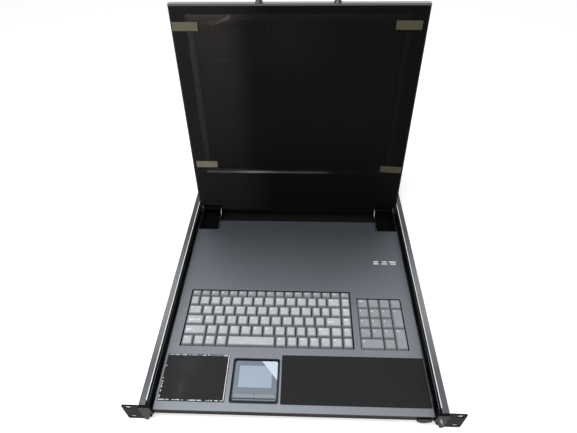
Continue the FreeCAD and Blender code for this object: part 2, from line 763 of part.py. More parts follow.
# --- hinge ----------------------------------------------------------------------------------
def hinge_bracket():
    """Foot on the pan floor and two cheeks that carry the pin."""
    floor = pan_z + drawer_sheet
    shoulder = top - deck_drop + 0.6
    foot_y = (hinge_bay_front + 1.0, pan_rear - 2.0)
    foot = box((hinge_inner, hinge_outer), foot_y, (floor, floor + hinge_cheek))
    bracket = foot
    for x0 in (hinge_inner, hinge_outer - hinge_cheek):
        crown = [(x0, hinge_axis_y + hinge_barrel_radius * math.sin(a), hinge_axis_z + hinge_barrel_radius * math.cos(a))
                 for a in (math.radians(-90 + 30 * n) for n in range(7))]
        outline = [(x0, foot_y[0], floor), (x0, foot_y[0], shoulder),
                   (x0, hinge_axis_y - hinge_notch + 1.0, shoulder)]
        cheek = prism(outline + crown + [(x0, foot_y[1], floor)], (hinge_cheek, 0, 0))
        bracket = bracket.fuse(cheek)
    bore = rod_x((hinge_inner - 1, hinge_outer + 1), hinge_axis_y, hinge_axis_z, hinge_pin_radius)
    return bracket.cut(bore).removeSplitter()


def hinge_pin():
    pin = rod_x((hinge_inner - 0.8, hinge_outer + 0.8), hinge_axis_y, hinge_axis_z, hinge_pin_radius)
    head = rod_x((hinge_outer, hinge_outer + 0.8), hinge_axis_y, hinge_axis_z, hinge_pin_radius + 1.2)
    return pin.fuse(head).removeSplitter()


def hinge_arm():
    """Lid half of the hinge: a barrel round the pin and a leaf inside the lid."""
    x = (hinge_inner + hinge_cheek + hinge_side_gap, hinge_outer - hinge_cheek - hinge_side_gap)
    barrel = rod_x(x, hinge_axis_y, hinge_axis_z, hinge_barrel_radius - 0.4)
    leaf = lid_box(x, (0.0, hinge_leaf_reach), (lid_half - lid_sheet - hinge_leaf, lid_half - lid_sheet))
    heel = lid_box(x, (0.0, hinge_notch - 1.0), (0.0, lid_half - lid_sheet))
    bore = rod_x((x[0] - 1, x[1] + 1), hinge_axis_y, hinge_axis_z, hinge_pin_radius + hinge_running_clearance)
    arm = barrel.fuse(trimmed_leaf(leaf, x)).fuse(trimmed_leaf(heel, x)).cut(bore)
    return open_lid(arm.removeSplitter())


def trimmed_leaf(leaf, x):
    """Keeps a leaf inside the round sweep that the pan and cover leave free."""
    guard = rod_x((x[0] - 1, x[1] + 1), hinge_axis_y, hinge_axis_z, hinge_leaf_reach + 10.0)
    return leaf.common(guard)


# --- lid ------------------------------------------------------------------------------------
def lid_outline(w):
    """The lid's full block between two thickness levels, with both hinge corners cut out."""
    half = lid_width / 2.0
    block = lid_box((-half, half), (lid_heel, lid_length), w)
    for side in (-1, 1):
        x = sorted((side * (hinge_inner - 1.7), side * (half + 1.0)))
        block = block.cut(lid_box(x, (0.0, hinge_notch), (w[0] - 1, w[1] + 1)))
    return block


def lid_bezel():
    """Front frame: a plate with the screen window, a low rim and a chamfered front edge."""
    w = (-lid_half, -lid_half + bezel_depth)
    half = lid_width / 2.0
    block = lid_outline(w)
    low = (hinge_axis_y - lid_length, hinge_axis_z - lid_half)
    c = lid_chamfer
    end = prism([(-half - 1, low[0], low[1]), (-half - 1, low[0] + c, low[1]), (-half - 1, low[0], low[1] + c)],
                (2 * half + 2, 0, 0))
    block = block.cut(end)
    for side in (-1, 1):
        edge = prism([(side * half, low[0] - 1, low[1]), (side * (half - c), low[0] - 1, low[1]),
                      (side * half, low[0] - 1, low[1] + c)], (0, lid_length + 2, 0))
        block = block.cut(edge)
    rim = 2.4
    room = lid_box((rim - half, half - rim), (hinge_notch + rim, lid_length - rim), (w[0] + bezel_sheet, w[1] + 1))
    sx = screen_width / 2.0
    window = lid_box((-sx, sx), (screen_start, screen_start + screen_height), (w[0] - 1, w[1] + 1))
    middle = hinge_inner - 1.7 - rim
    heel = lid_box((-middle, middle), (lid_heel + rim, hinge_notch + rim + 1), (w[0] + bezel_sheet, w[1] + 1))
    return open_lid(block.cut(room).cut(window).cut(heel))


def lid_cover():
    """Back shell: a plate with a deep rim that meets the front frame."""
    w = (-lid_half + bezel_depth + lid_split, lid_half)
    half = lid_width / 2.0
    rim = lid_sheet
    block = lid_outline(w)
    room = lid_box((rim - half, half - rim), (hinge_notch + rim, lid_length - rim), (w[0] - 1, w[1] - lid_sheet))
    middle = hinge_inner - 1.7 - rim
    heel = lid_box((-middle, middle), (lid_heel + rim, hinge_notch + rim + 1), (w[0] - 1, w[1] - lid_sheet))
    shell = block.cut(room).cut(heel)
    seat_x = (hinge_inner + hinge_cheek, hinge_outer - hinge_cheek)
    for side in (-1, 1):
        x = sorted((side * seat_x[0], side * seat_x[1]))
        gate = lid_box(x, (hinge_notch - 1, hinge_notch + rim + 1),
                       (lid_half - lid_sheet - hinge_leaf - 0.2, lid_half - lid_sheet))
        shell = shell.cut(gate)
    return open_lid(shell)


def lid_ledge():
    """Posts that join the front frame to the back shell."""
    posts = []
    for x in (-lid_width / 2.0 + 9.0, lid_width / 2.0 - 9.0):
        for s in (hinge_leaf_reach + 15.0, lid_length - 9.0):
            y = hinge_axis_y - s
            z = (hinge_axis_z - lid_half + bezel_sheet, hinge_axis_z + lid_half - lid_sheet)
            posts.append(open_lid(disc((x, y, z[0]), (0, 0, 1), 3.0, z[1] - z[0], fastener_sides)))
    return posts


def lcd_panel():
    half = screen_width / 2.0 + panel_margin
    s = (screen_start - panel_margin, screen_start + screen_height + panel_margin)
    w0 = -lid_half + bezel_sheet
    return open_lid(lid_box((-half, half), s, (w0, w0 + panel_thickness)))


def protective_film():
    half = film_width / 2.0
    s = (screen_centre - film_height / 2.0, screen_centre + film_height / 2.0)
    return open_lid(lid_box((-half, half), s, (-lid_half - film_thickness, -lid_half)))


def film_tapes():
    """Four strips across the film's corners; the last one lies a little askew."""
    w = (-lid_half - film_thickness - tape_thickness, -lid_half - film_thickness)
    tapes = []
    for corner, offset, turn in tape_places:
        x = corner[0] * film_width / 2.0 + offset[0]
        s = screen_centre + corner[1] * film_height / 2.0 + offset[1]
        dx, ds = tape_size[0] / 2.0, tape_size[1] / 2.0
        strip = lid_box((x - dx, x + dx), (s - ds, s + ds), w)
        strip.rotate(Vector(x, hinge_axis_y - s, 0), Vector(0, 0, 1), -turn)
        tapes.append(open_lid(strip))
    return tapes


def pull_handle():
    """A round bail with two flared feet on the lid's far edge."""
    near = hinge_axis_y - lid_length
    far = near - handle_rise
    half = handle_span / 2.0
    bend = handle_bend
    stations = [(-half, near, 0.0, handle_foot_radius), (-half, near - handle_foot_height, 0.0, handle_radius)]
    for cx, start in ((-half + bend, 0.0), (half - bend, 90.0)):
        for step in range(handle_steps + 1):
            turn = start + 90.0 * step / handle_steps
            a = math.radians(turn)
            stations.append((cx - bend * math.cos(a), far + bend - bend * math.sin(a), turn, handle_radius))
    stations += [(half, near - handle_foot_height, 180.0, handle_radius), (half, near, 180.0, handle_foot_radius)]
    rings = [bar_ring(Vector(x, y, hinge_axis_z), turn, radius) for x, y, turn, radius in stations]
    return open_lid(faceted_solid(rings))


def bar_ring(centre, turn, radius):
    """A ring of points square to a path that has turned this far from -Y towards +X."""
    side = Vector(math.cos(math.radians(turn)), math.sin(math.radians(turn)), 0)
    points = []
    for n in range(fastener_sides):
        a = 2.0 * math.pi * n / fastener_sides
        points.append(centre + side * (radius * math.cos(a)) + Vector(0, 0, radius * math.sin(a)))
    return points


# --- rear housing ---------------------------------------------------------------------------
def housing_span():
    return (pan_rear, housing_rear), (top - housing_bottom_drop, top - housing_top_drop)


def rear_housing():
    """Open box behind the hinge with the connector cut-outs and a row of vents."""
    y, z = housing_span()
    t = drawer_sheet
    z = (z[0], z[1] - t)
    shell = box((-drawer_half, drawer_half), y, z)
    shell = shell.cut(box((t - drawer_half, drawer_half - t), (y[0] + t, y[1] - t), (z[0] + t, z[1] + 1)))
    cuts = []
    back = (y[1] - t - 1, y[1] + 1)
    middle = (z[0] + z[1]) / 2.0
    for x, (w, h) in ((inlet_x, inlet_size), (rocker_x, rocker_size), (video_x, video_size)):
        cuts.append(box((x - w / 2.0, x + w / 2.0), back, (middle - h / 2.0, middle + h / 2.0)))
    for n in range(vent_count):
        x = vent_start + n * vent_pitch
        cuts.append(box((x, x + vent_size[0]), back, (middle - vent_size[1] / 2.0, middle + vent_size[1] / 2.0)))
    return shell.cut(Part.makeCompound(cuts))


def rear_cover():
    y, z = housing_span()
    t = drawer_sheet
    return rounded_block((-drawer_half, drawer_half), y, (z[1] - t, z[1]), 1.0)


def housing_middle():
    z = housing_span()[1]
    return (z[0] + z[1] - drawer_sheet) / 2.0


def power_inlet():
    """Appliance inlet: flange, open shroud and three flat pins."""
    z0 = housing_middle()
    face = housing_rear
    w, h = inlet_size
    fw, fh = inlet_flange
    y = (face - inlet_depth, face)
    x = (inlet_x - w / 2.0, inlet_x + w / 2.0)
    z = (z0 - h / 2.0, z0 + h / 2.0)
    body = box(x, y, z)
    flange = rounded_bar((inlet_x - fw / 2.0, inlet_x + fw / 2.0), (z0 - fh / 2.0, z0 + fh / 2.0),
                         (face, face + 2.0), 2.0)
    t = inlet_wall
    cavity = box((x[0] + t, x[1] - t), (y[0] + t, face + 3.0), (z[0] + t, z[1] - t))
    inlet = body.fuse(flange).cut(cavity)
    pw, ph, pl = inlet_pin
    for dx, dz in ((-7.0, -1.5), (0.0, 2.5), (7.0, -1.5)):
        px, pz = inlet_x + dx, z0 + dz
        inlet = inlet.fuse(box((px - pw / 2.0, px + pw / 2.0), (y[0] + t, y[0] + t + pl),
                               (pz - ph / 2.0, pz + ph / 2.0)))
    return inlet.removeSplitter()


def power_switch_frame():
    z0 = housing_middle()
    w, h = rocker_size
    face = housing_rear
    y = (face - rocker_body_depth, face)
    body = box((rocker_x - w / 2.0, rocker_x + w / 2.0), y, (z0 - h / 2.0, z0 + h / 2.0))
    flange = rounded_bar((rocker_x - w / 2.0 - 2.0, rocker_x + w / 2.0 + 2.0),
                         (z0 - h / 2.0 - 2.0, z0 + h / 2.0 + 2.0), (face, face + 1.6), 1.5)
    room = box((rocker_x - w / 2.0 + 1.4, rocker_x + w / 2.0 - 1.4), (y[0] + 1.4, face + 3.0),
               (z0 - h / 2.0 + 1.4, z0 + h / 2.0 - 1.4))
    return body.fuse(flange).cut(room).removeSplitter()


def power_rocker():
    """Rocker button, tipped one way as stored; it turns about its own cross axis."""
    z0 = housing_middle()
    w, h = rocker_size
    width = w - 2 * 1.4 - 0.8
    reach = h / 2.0 - 1.4 - 1.2
    y = housing_rear
    crown = 3.0
    depth = 6.0
    x0 = rocker_x - width / 2.0
    body = prism([(x0, y - depth, z0 - 3.0), (x0, y - 1.0, z0 - reach), (x0, y + crown, z0 - reach + 0.6),
                  (x0, y + 1.4, z0), (x0, y + crown, z0 + reach - 0.6), (x0, y - 1.0, z0 + reach),
                  (x0, y - depth, z0 + 3.0)], (width, 0, 0))
    turned = body.copy()
    turned.rotate(Vector(rocker_x, y, z0), Vector(1, 0, 0), rocker_swing)
    return turned


def video_socket():
    """A fifteen-way socket: body, tapered shell and two jack nuts."""
    z0 = housing_middle()
    w, h = video_size
    sw, sh = video_shell
    face = housing_rear
    body = box((video_x - w / 2.0, video_x + w / 2.0), (face - 8.0, face + 1.0), (z0 - h / 2.0, z0 + h / 2.0))
    lean = 1.4
    shell = prism([(video_x - sw / 2.0 + lean, face + 1.0, z0 - sh / 2.0),
                   (video_x + sw / 2.0 - lean, face + 1.0, z0 - sh / 2.0),
                   (video_x + sw / 2.0, face + 1.0, z0 + sh / 2.0),
                   (video_x - sw / 2.0, face + 1.0, z0 + sh / 2.0)], (0, 5.0, 0))
    socket = body.fuse(shell)
    for side in (-1, 1):
        nut = disc((video_x + side * 12.5, face + 1.0, z0), (0, 1, 0), 2.4, 4.0, 6)
        socket = socket.fuse(nut)
    return socket.removeSplitter()


def main_board():
    """Control board on four posts inside the rear housing."""
    (y0, y1), (z0, z1) = housing_span()
    w, d = board_width, board_depth
    floor = z0 + drawer_sheet
    high = floor + board_post
    yc = (y0 + y1) / 2.0 - board_shift
    board = box((-w / 2.0, w / 2.0), (yc - d / 2.0, yc + d / 2.0), (high, high + board_thickness))
    solids = [board]
    for (x, y), (sx, sy, sz) in board_parts:
        solids.append(box((x, x + sx), (yc + y, yc + y + sy), (high + board_thickness, high + board_thickness + sz)))
    for sx in (-1, 1):
        for sy in (-1, 1):
            px, py = sx * (w / 2.0 - board_post), yc + sy * (d / 2.0 - board_post)
            solids.append(box((px - 2.5, px + 2.5), (py - 2.5, py + 2.5), (floor, high)))
    return solids[0].fuse(solids[1:]).removeSplitter()


def cover_screws():
    z = top - housing_top_drop
    screws = []
    side = drawer_half - screw_side_inset
    for x in (-side, 0.0, side):
        for y in (pan_rear + screw_end_inset, housing_rear - screw_end_inset):
            screws.append(disc((x, y, z), (0, 0, 1), screw_head / 2.0, screw_height, fastener_sides))
    return screws


# --- assembly -------------------------------------------------------------------------------
os.makedirs("parts", exist_ok=True)

write_pair("outer_rail", fixed_rail())
write_pair("rack_ear", rack_ear())
right_rivets = ear_rivets()
write("ear_rivets", *(right_rivets + [mirrored(r) for r in right_rivets]))
write("rear_stops", rear_stop(), mirrored(rear_stop()))
write_pair("middle_rail", middle_rail())
write_pair("outer_ball_cage", outer_cage())
write_pair("inner_ball_cage", inner_cage())

write_pair("inner_rail", inner_rail())
write("rail_spacers", *rail_spacers())
write("drawer_pan", drawer_pan())
write("keyboard_deck", keyboard_deck())
write_pair("corner_cap", corner_cap())

rows = key_rows()
pad = numpad_cells()
space_index = 4
main_cells = [cell for row in rows for cell in row]
write("keyboard_plate", key_plate(main_cells, key_opening_x, key_opening_y),
      key_plate(pad, pad_opening_x, pad_opening_y))
write("keyboard_posts", *(plate_feet(key_opening_x, key_opening_y) + plate_feet(pad_opening_x, pad_opening_y)))
row_names = ("function_keys", "number_keys", "upper_letter_keys", "home_letter_keys", "lower_letter_keys")
for name, row in zip(row_names, rows):
    write(name, *[keycap(cell) for cell in row])
write("bottom_keys", *[keycap(cell) for n, cell in enumerate(rows[5]) if n != space_index])
write("space_bar", keycap(rows[5][space_index]))
write("numpad_keys", *[keycap(cell) for cell in pad])

palm_z = (deck_z, deck_z + palm_thickness)
write("palm_pad_left", rounded_block(palm_left_x, palm_left_y, palm_z, 1.5))
write("palm_pad_right", rounded_block(palm_right_x, palm_right_y, palm_z, 1.5))
m = palm_film_margin
write("palm_film", box((palm_left_x[0] + m, palm_left_x[1] - m), (palm_left_y[0] + m, palm_left_y[1] - m),
                       (palm_z[1], palm_z[1] + palm_film_thickness)))
write("touchpad_tub", touchpad_tub())
module, module_x = touchpad_module()
write("touchpad_module", module)
pad_x, pad_y = pad_area()
pad_z = top - touch_top_drop
write("touchpad_surface", box(pad_x, pad_y, (pad_z - 0.9, pad_z - 0.3)))
left_button, right_button = touchpad_buttons(module_x)
write("touchpad_button_left", left_button)
write("touchpad_button_right", right_button)
write("indicator_lights", *[disc((x, indicator_y, deck_z - 4.0), (0, 0, 1), indicator_diameter / 2.0, 4.1, ball_sides)
                            for x in indicator_x])
write("release_latch", release_latch())
write("latch_straps", *latch_straps())

write_pair("hinge_bracket", hinge_bracket())
write("hinge_pins", hinge_pin(), mirrored(hinge_pin()))
write_pair("hinge_arm", hinge_arm())
write("lid_cover", lid_cover())
write("lid_bezel", lid_bezel())
write("lid_posts", *lid_ledge())
write("lcd_panel", lcd_panel())
write("protective_film", protective_film())
write("film_tapes", *film_tapes())
write("pull_handle", pull_handle())

write("rear_housing", rear_housing())
write("rear_cover", rear_cover())
write("main_board", main_board())
write("power_inlet", power_inlet())
write("power_switch_frame", power_switch_frame())
write("power_rocker", power_rocker())
write("video_socket", video_socket())
write("cover_screws", *cover_screws())
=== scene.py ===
import json
import math
import random
import bmesh
import bpy
from mathutils import Matrix, Vector


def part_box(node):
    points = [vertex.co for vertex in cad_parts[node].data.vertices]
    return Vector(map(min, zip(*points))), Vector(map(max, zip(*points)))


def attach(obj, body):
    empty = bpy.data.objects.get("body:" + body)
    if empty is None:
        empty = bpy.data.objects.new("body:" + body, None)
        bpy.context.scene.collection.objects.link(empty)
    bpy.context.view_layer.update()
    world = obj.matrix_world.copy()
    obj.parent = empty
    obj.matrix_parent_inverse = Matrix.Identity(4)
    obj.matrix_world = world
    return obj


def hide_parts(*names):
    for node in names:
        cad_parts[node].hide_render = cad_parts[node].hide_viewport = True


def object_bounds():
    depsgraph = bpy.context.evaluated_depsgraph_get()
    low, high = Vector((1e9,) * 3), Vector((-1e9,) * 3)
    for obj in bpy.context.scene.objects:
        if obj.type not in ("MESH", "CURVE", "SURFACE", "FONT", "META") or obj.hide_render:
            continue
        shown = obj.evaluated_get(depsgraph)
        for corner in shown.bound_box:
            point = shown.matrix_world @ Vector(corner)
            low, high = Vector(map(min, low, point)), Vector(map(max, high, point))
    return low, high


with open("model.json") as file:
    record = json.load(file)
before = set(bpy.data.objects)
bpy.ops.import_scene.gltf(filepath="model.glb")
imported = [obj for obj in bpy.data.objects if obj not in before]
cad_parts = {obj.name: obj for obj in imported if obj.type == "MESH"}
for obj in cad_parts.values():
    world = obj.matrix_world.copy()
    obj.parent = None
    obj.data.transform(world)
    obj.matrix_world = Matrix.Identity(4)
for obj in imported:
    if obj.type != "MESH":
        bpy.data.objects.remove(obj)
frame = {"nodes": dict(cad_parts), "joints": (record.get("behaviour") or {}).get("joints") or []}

cadLow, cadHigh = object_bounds()
mm = 0.001
print("frame loaded")


# ---- camera, floor and light
cameraValues = {
    "place": (0.010056, -0.239496, 0.627554), "turn": (45.864, 0.7255, 1.8336),  # the turn is in degrees
    "lens": 26.634, "sensor": 36.0, "near": 0.01, "far": 50,
}
lightValues = {
    "worldSeen": 1.0, "worldLight": 0.47,
    "floorColour": 0.93, "floorRough": 0.9, "floorSize": 7.0, "floorLift": 0.5,
    "lamps": {
        "leftLamp": {"place": (-0.22, -0.05, 1.15), "aim": (-0.05, 0.12, 0.0), "size": 0.8, "power": 9.0},
        "frontLamp": {"place": (0.3, -1.4, 1.3), "aim": (0.0, 0.2, 0.1), "size": 1.2, "power": 4.0},
    },
}


def makeCamera(values):
    data = bpy.data.cameras.new("viewCamera")
    data.lens = values["lens"]
    data.sensor_width = values["sensor"]
    data.clip_start = values["near"]
    data.clip_end = values["far"]
    camera = bpy.data.objects.new("viewCamera", data)
    camera.location = values["place"]
    camera.rotation_euler = [math.radians(a) for a in values["turn"]]
    bpy.context.scene.collection.objects.link(camera)
    bpy.context.scene.camera = camera


def seenMask(tree):
    # 1 for rays from the camera, in a reflection or through glass
    path = tree.nodes.new("ShaderNodeLightPath")
    last = path.outputs["Is Camera Ray"]
    for name in ("Is Glossy Ray", "Is Transmission Ray"):
        most = tree.nodes.new("ShaderNodeMath")
        most.operation = "MAXIMUM"
        tree.links.new(last, most.inputs[0])
        tree.links.new(path.outputs[name], most.inputs[1])
        last = most.outputs[0]
    return last


def makeWorld(values):
    world = bpy.data.worlds.new("whiteRoom")
    bpy.context.scene.world = world
    world.use_nodes = True
    tree = world.node_tree
    strength = tree.nodes.new("ShaderNodeMapRange")
    strength.inputs["To Min"].default_value = values["worldLight"]
    strength.inputs["To Max"].default_value = values["worldSeen"]
    tree.links.new(seenMask(tree), strength.inputs["Value"])
    background = tree.nodes["Background"]
    background.inputs["Color"].default_value = (1, 1, 1, 1)
    tree.links.new(strength.outputs["Result"], background.inputs["Strength"])


def makeFloor(values):
    half = values["floorSize"] / 2
    z = cadLow.z
    corners = [(-half, -half, z), (half, -half, z), (half, half, z), (-half, half, z)]
    mesh = bpy.data.meshes.new("paleFloor")
    mesh.from_pydata(corners, [], [(0, 1, 2, 3)])
    floor = bpy.data.objects.new("paleFloor", mesh)
    bpy.context.scene.collection.objects.link(floor)
    material = bpy.data.materials.new("paleFloor")
    material.use_nodes = True
    tree = material.node_tree
    shader = tree.nodes["Principled BSDF"]
    shade = values["floorColour"]
    shader.inputs["Base Color"].default_value = (shade, shade, shade, 1)
    shader.inputs["Roughness"].default_value = values["floorRough"]
    shader.inputs["Specular IOR Level"].default_value = 0.0
    shader.inputs["Emission Color"].default_value = (1, 1, 1, 1)
    lift = tree.nodes.new("ShaderNodeMath")
    lift.operation = "MULTIPLY"
    lift.inputs[1].default_value = values["floorLift"]
    tree.links.new(seenMask(tree), lift.inputs[0])
    tree.links.new(lift.outputs[0], shader.inputs["Emission Strength"])
    mesh.materials.append(material)


def makeLamps(values):
    for name, lamp in values["lamps"].items():
        data = bpy.data.lights.new(name, "AREA")
        data.shape = "DISK"
        data.size = lamp["size"]
        data.energy = lamp["power"]
        item = bpy.data.objects.new(name, data)
        item.location = lamp["place"]
        aim = Vector(lamp["aim"]) - Vector(lamp["place"])
        item.rotation_euler = aim.to_track_quat("-Z", "Y").to_euler()
        bpy.context.scene.collection.objects.link(item)


makeCamera(cameraValues)
makeWorld(lightValues)
makeFloor(lightValues)
makeLamps(lightValues)
bpy.context.scene.view_settings.view_transform = "Standard"
print("camera, floor and lamps placed")


# ---- node helpers, and the groups that all finishes share
def newGroup(name, kind, inputs, outputs):
    group = bpy.data.node_groups.new(name, kind)
    for label, socketType, value in inputs:
        socket = group.interface.new_socket(name=label, in_out="INPUT", socket_type=socketType)
        if value is not None:
            socket.default_value = value
    for label, socketType in outputs:
        group.interface.new_socket(name=label, in_out="OUTPUT", socket_type=socketType)
    return group, group.nodes.new("NodeGroupInput"), group.nodes.new("NodeGroupOutput")


def addNode(tree, kind, settings=None, **values):
    node = tree.nodes.new(kind)
    for key, value in (settings or {}).items():
        setattr(node, key, value)
    for key, value in values.items():
        node.inputs[key].default_value = value
    return node


def buildGrainGroup():
    # a finish that is never quite even: colour, roughness and fine height from two noises
    group, start, end = newGroup("unevenFinish", "ShaderNodeTree", [
        ("Colour", "NodeSocketColor", (0.5, 0.5, 0.5, 1)),
        ("Grain Scale", "NodeSocketFloat", 900.0),
        ("Patch Scale", "NodeSocketFloat", 14.0),
        ("Colour Change", "NodeSocketFloat", 0.1),
        ("Roughness", "NodeSocketFloat", 0.4),
        ("Roughness Change", "NodeSocketFloat", 0.1),
        ("Stretch", "NodeSocketVector", (1.0, 1.0, 1.0)),
    ], [("Colour", "NodeSocketColor"), ("Roughness", "NodeSocketFloat"), ("Height", "NodeSocketFloat")])
    place = addNode(group, "ShaderNodeTexCoord")
    stretch = addNode(group, "ShaderNodeVectorMath", {"operation": "MULTIPLY"})
    group.links.new(place.outputs["Object"], stretch.inputs[0])
    group.links.new(start.outputs["Stretch"], stretch.inputs[1])
    grain = addNode(group, "ShaderNodeTexNoise", Detail=3.0, Roughness=0.6)
    patch = addNode(group, "ShaderNodeTexNoise", Detail=2.0, Roughness=0.5)
    group.links.new(stretch.outputs[0], grain.inputs["Vector"])
    group.links.new(place.outputs["Object"], patch.inputs["Vector"])
    group.links.new(start.outputs["Grain Scale"], grain.inputs["Scale"])
    group.links.new(start.outputs["Patch Scale"], patch.inputs["Scale"])
    blend = addNode(group, "ShaderNodeMath", {"operation": "ADD"})
    group.links.new(grain.outputs["Fac"], blend.inputs[0])
    group.links.new(patch.outputs["Fac"], blend.inputs[1])
    # each noise lies around a half, so their sum less one lies around nothing
    centred = addNode(group, "ShaderNodeMath", {"operation": "SUBTRACT"})
    centred.inputs[1].default_value = 1.0
    group.links.new(blend.outputs[0], centred.inputs[0])
    shift = addNode(group, "ShaderNodeMath", {"operation": "MULTIPLY_ADD"})
    group.links.new(centred.outputs[0], shift.inputs[0])
    group.links.new(start.outputs["Colour Change"], shift.inputs[1])
    shift.inputs[2].default_value = 1.0
    tint = addNode(group, "ShaderNodeVectorMath", {"operation": "SCALE"})
    group.links.new(start.outputs["Colour"], tint.inputs[0])
    group.links.new(shift.outputs[0], tint.inputs["Scale"])
    rough = addNode(group, "ShaderNodeMath", {"operation": "MULTIPLY_ADD"})
    group.links.new(centred.outputs[0], rough.inputs[0])
    group.links.new(start.outputs["Roughness Change"], rough.inputs[1])
    group.links.new(start.outputs["Roughness"], rough.inputs[2])
    group.links.new(tint.outputs[0], end.inputs["Colour"])
    group.links.new(rough.outputs[0], end.inputs["Roughness"])
    group.links.new(grain.outputs["Fac"], end.inputs["Height"])
    return group


def buildBandGroup():
    # a soft-edged mask between two levels along one direction
    group, start, end = newGroup("levelMask", "ShaderNodeTree", [
        ("Direction", "NodeSocketVector", (0.0, 0.0, 1.0)),
        ("From", "NodeSocketFloat", 0.0),
        ("To", "NodeSocketFloat", 1.0),
    ], [("Mask", "NodeSocketFloat")])
    place = addNode(group, "ShaderNodeTexCoord")
    along = addNode(group, "ShaderNodeVectorMath", {"operation": "DOT_PRODUCT"})
    group.links.new(place.outputs["Object"], along.inputs[0])
    group.links.new(start.outputs["Direction"], along.inputs[1])
    ramp = addNode(group, "ShaderNodeMapRange", {"clamp": True})
    group.links.new(along.outputs["Value"], ramp.inputs["Value"])
    group.links.new(start.outputs["From"], ramp.inputs["From Min"])
    group.links.new(start.outputs["To"], ramp.inputs["From Max"])
    group.links.new(ramp.outputs["Result"], end.inputs["Mask"])
    return group


def buildSideGroup():
    # a mask for a narrow strip on both sides of the drawer, above one level
    group, start, end = newGroup("sideStrip", "ShaderNodeTree", [
        ("Inner", "NodeSocketFloat", 0.2),
        ("Outer", "NodeSocketFloat", 0.21),
        ("Above", "NodeSocketFloat", 0.0),
    ], [("Mask", "NodeSocketFloat")])
    place = addNode(group, "ShaderNodeTexCoord")
    axes = addNode(group, "ShaderNodeSeparateXYZ")
    group.links.new(place.outputs["Object"], axes.inputs[0])
    side = addNode(group, "ShaderNodeMath", {"operation": "ABSOLUTE"})
    group.links.new(axes.outputs["X"], side.inputs[0])
    limits = (
        (side.outputs[0], "Inner", "GREATER_THAN"),
        (side.outputs[0], "Outer", "LESS_THAN"),
        (axes.outputs["Z"], "Above", "GREATER_THAN"),
    )
    last = None
    for source, socket, operation in limits:
        test = addNode(group, "ShaderNodeMath", {"operation": operation})
        group.links.new(source, test.inputs[0])
        group.links.new(start.outputs[socket], test.inputs[1])
        if last is None:
            last = test.outputs[0]
            continue
        both = addNode(group, "ShaderNodeMath", {"operation": "MULTIPLY"})
        group.links.new(last, both.inputs[0])
        group.links.new(test.outputs[0], both.inputs[1])
        last = both.outputs[0]
    group.links.new(last, end.inputs["Mask"])
    return group


unevenFinish = buildGrainGroup()
levelMask = buildBandGroup()
sideStrip = buildSideGroup()


# ---- the open lid's own directions: out from the hinge axis, and from the screen side to the back
lidJoint = next(joint for joint in frame["joints"] if joint["name"] == "lid_hinge")
lidAxis = Vector(lidJoint["pos_m"])
lidTurn = math.radians(lidJoint["range_deg"][1])
lidOut = Vector((0, -math.cos(lidTurn), math.sin(lidTurn)))
lidBack = Vector((0, math.sin(lidTurn), math.cos(lidTurn)))


def lidPoint(x, s, w):
    return Vector((x, lidAxis.y, lidAxis.z)) + lidOut * s + lidBack * w


def lidRange(node):
    # a lid piece's reach across, out from the axis and through its thickness
    points = [v.co for v in frame["nodes"][node].data.vertices]
    flat = [(p.x, (p - lidAxis).dot(lidOut), (p - lidAxis).dot(lidBack)) for p in points]
    return [(min(f[k] for f in flat), max(f[k] for f in flat)) for k in range(3)]


axisLevel = Vector((0, lidAxis.y, lidAxis.z)).dot(lidOut)
bezelFar = axisLevel + lidRange("lid_bezel")[1][1]
shellFar = axisLevel + lidRange("lid_cover")[1][1]
railLow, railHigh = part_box("outer_rail_right")
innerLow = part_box("inner_rail_right")[0]


# ---- the finishes
def addMask(tree, group, **values):
    return addNode(tree, "ShaderNodeGroup", {"node_tree": group}, **values).outputs["Mask"]


def layColour(tree, base, mask, shade):
    # one colour over another wherever the mask is up
    mix = addNode(tree, "ShaderNodeMix", {"data_type": "RGBA"}, B=(*shade, 1))
    tree.links.new(mask, mix.inputs["Factor"])
    tree.links.new(base, mix.inputs["A"])
    return mix.outputs["Result"]


def finish(name, colour, metal=0.0, rough=0.45, roughChange=0.08, grain=900.0, patch=14.0, change=0.12, bump=0.00002,
           stretch=(1, 1, 1), specular=0.5, bands=(), strips=(), coatBand=None, coatRough=0.08, hazeAndGlintName=None):
    # bands are (direction, from, to, colour) and strips (inner, outer, above, colour), laid over the base colour
    material = bpy.data.materials.new(name)
    material.use_nodes = True
    tree = material.node_tree
    shader = tree.nodes["Principled BSDF"]
    uneven = addNode(tree, "ShaderNodeGroup", {"node_tree": unevenFinish}, **{
        "Colour": (*colour, 1), "Grain Scale": grain, "Patch Scale": patch, "Colour Change": change,
        "Roughness": rough, "Roughness Change": roughChange, "Stretch": stretch,
    })
    last = uneven.outputs["Colour"]
    for direction, low, high, shade in bands:
        last = layColour(tree, last, addMask(tree, levelMask, Direction=direction, From=low, To=high), shade)
    for inner, outer, above, shade in strips:
        last = layColour(tree, last, addMask(tree, sideStrip, Inner=inner, Outer=outer, Above=above), shade)
    if coatBand:
        direction, low, high = coatBand
        tree.links.new(addMask(tree, levelMask, Direction=direction, From=low, To=high), shader.inputs["Coat Weight"])
    # the attribute holds the film's haze together with painted highlights, used as alpha
    if hazeAndGlintName:
        hazeAndGlint = addNode(tree, "ShaderNodeAttribute", {"attribute_name": hazeAndGlintName})
        tree.links.new(hazeAndGlint.outputs["Fac"], shader.inputs["Alpha"])
    tree.links.new(last, shader.inputs["Base Color"])
    tree.links.new(uneven.outputs["Roughness"], shader.inputs["Roughness"])
    height = addNode(tree, "ShaderNodeBump", Strength=1.0, Distance=bump)
    tree.links.new(uneven.outputs["Height"], height.inputs["Height"])
    tree.links.new(height.outputs["Normal"], shader.inputs["Normal"])
    shader.inputs["Metallic"].default_value = metal
    shader.inputs["Specular IOR Level"].default_value = specular
    shader.inputs["Coat Roughness"].default_value = coatRough
    return material
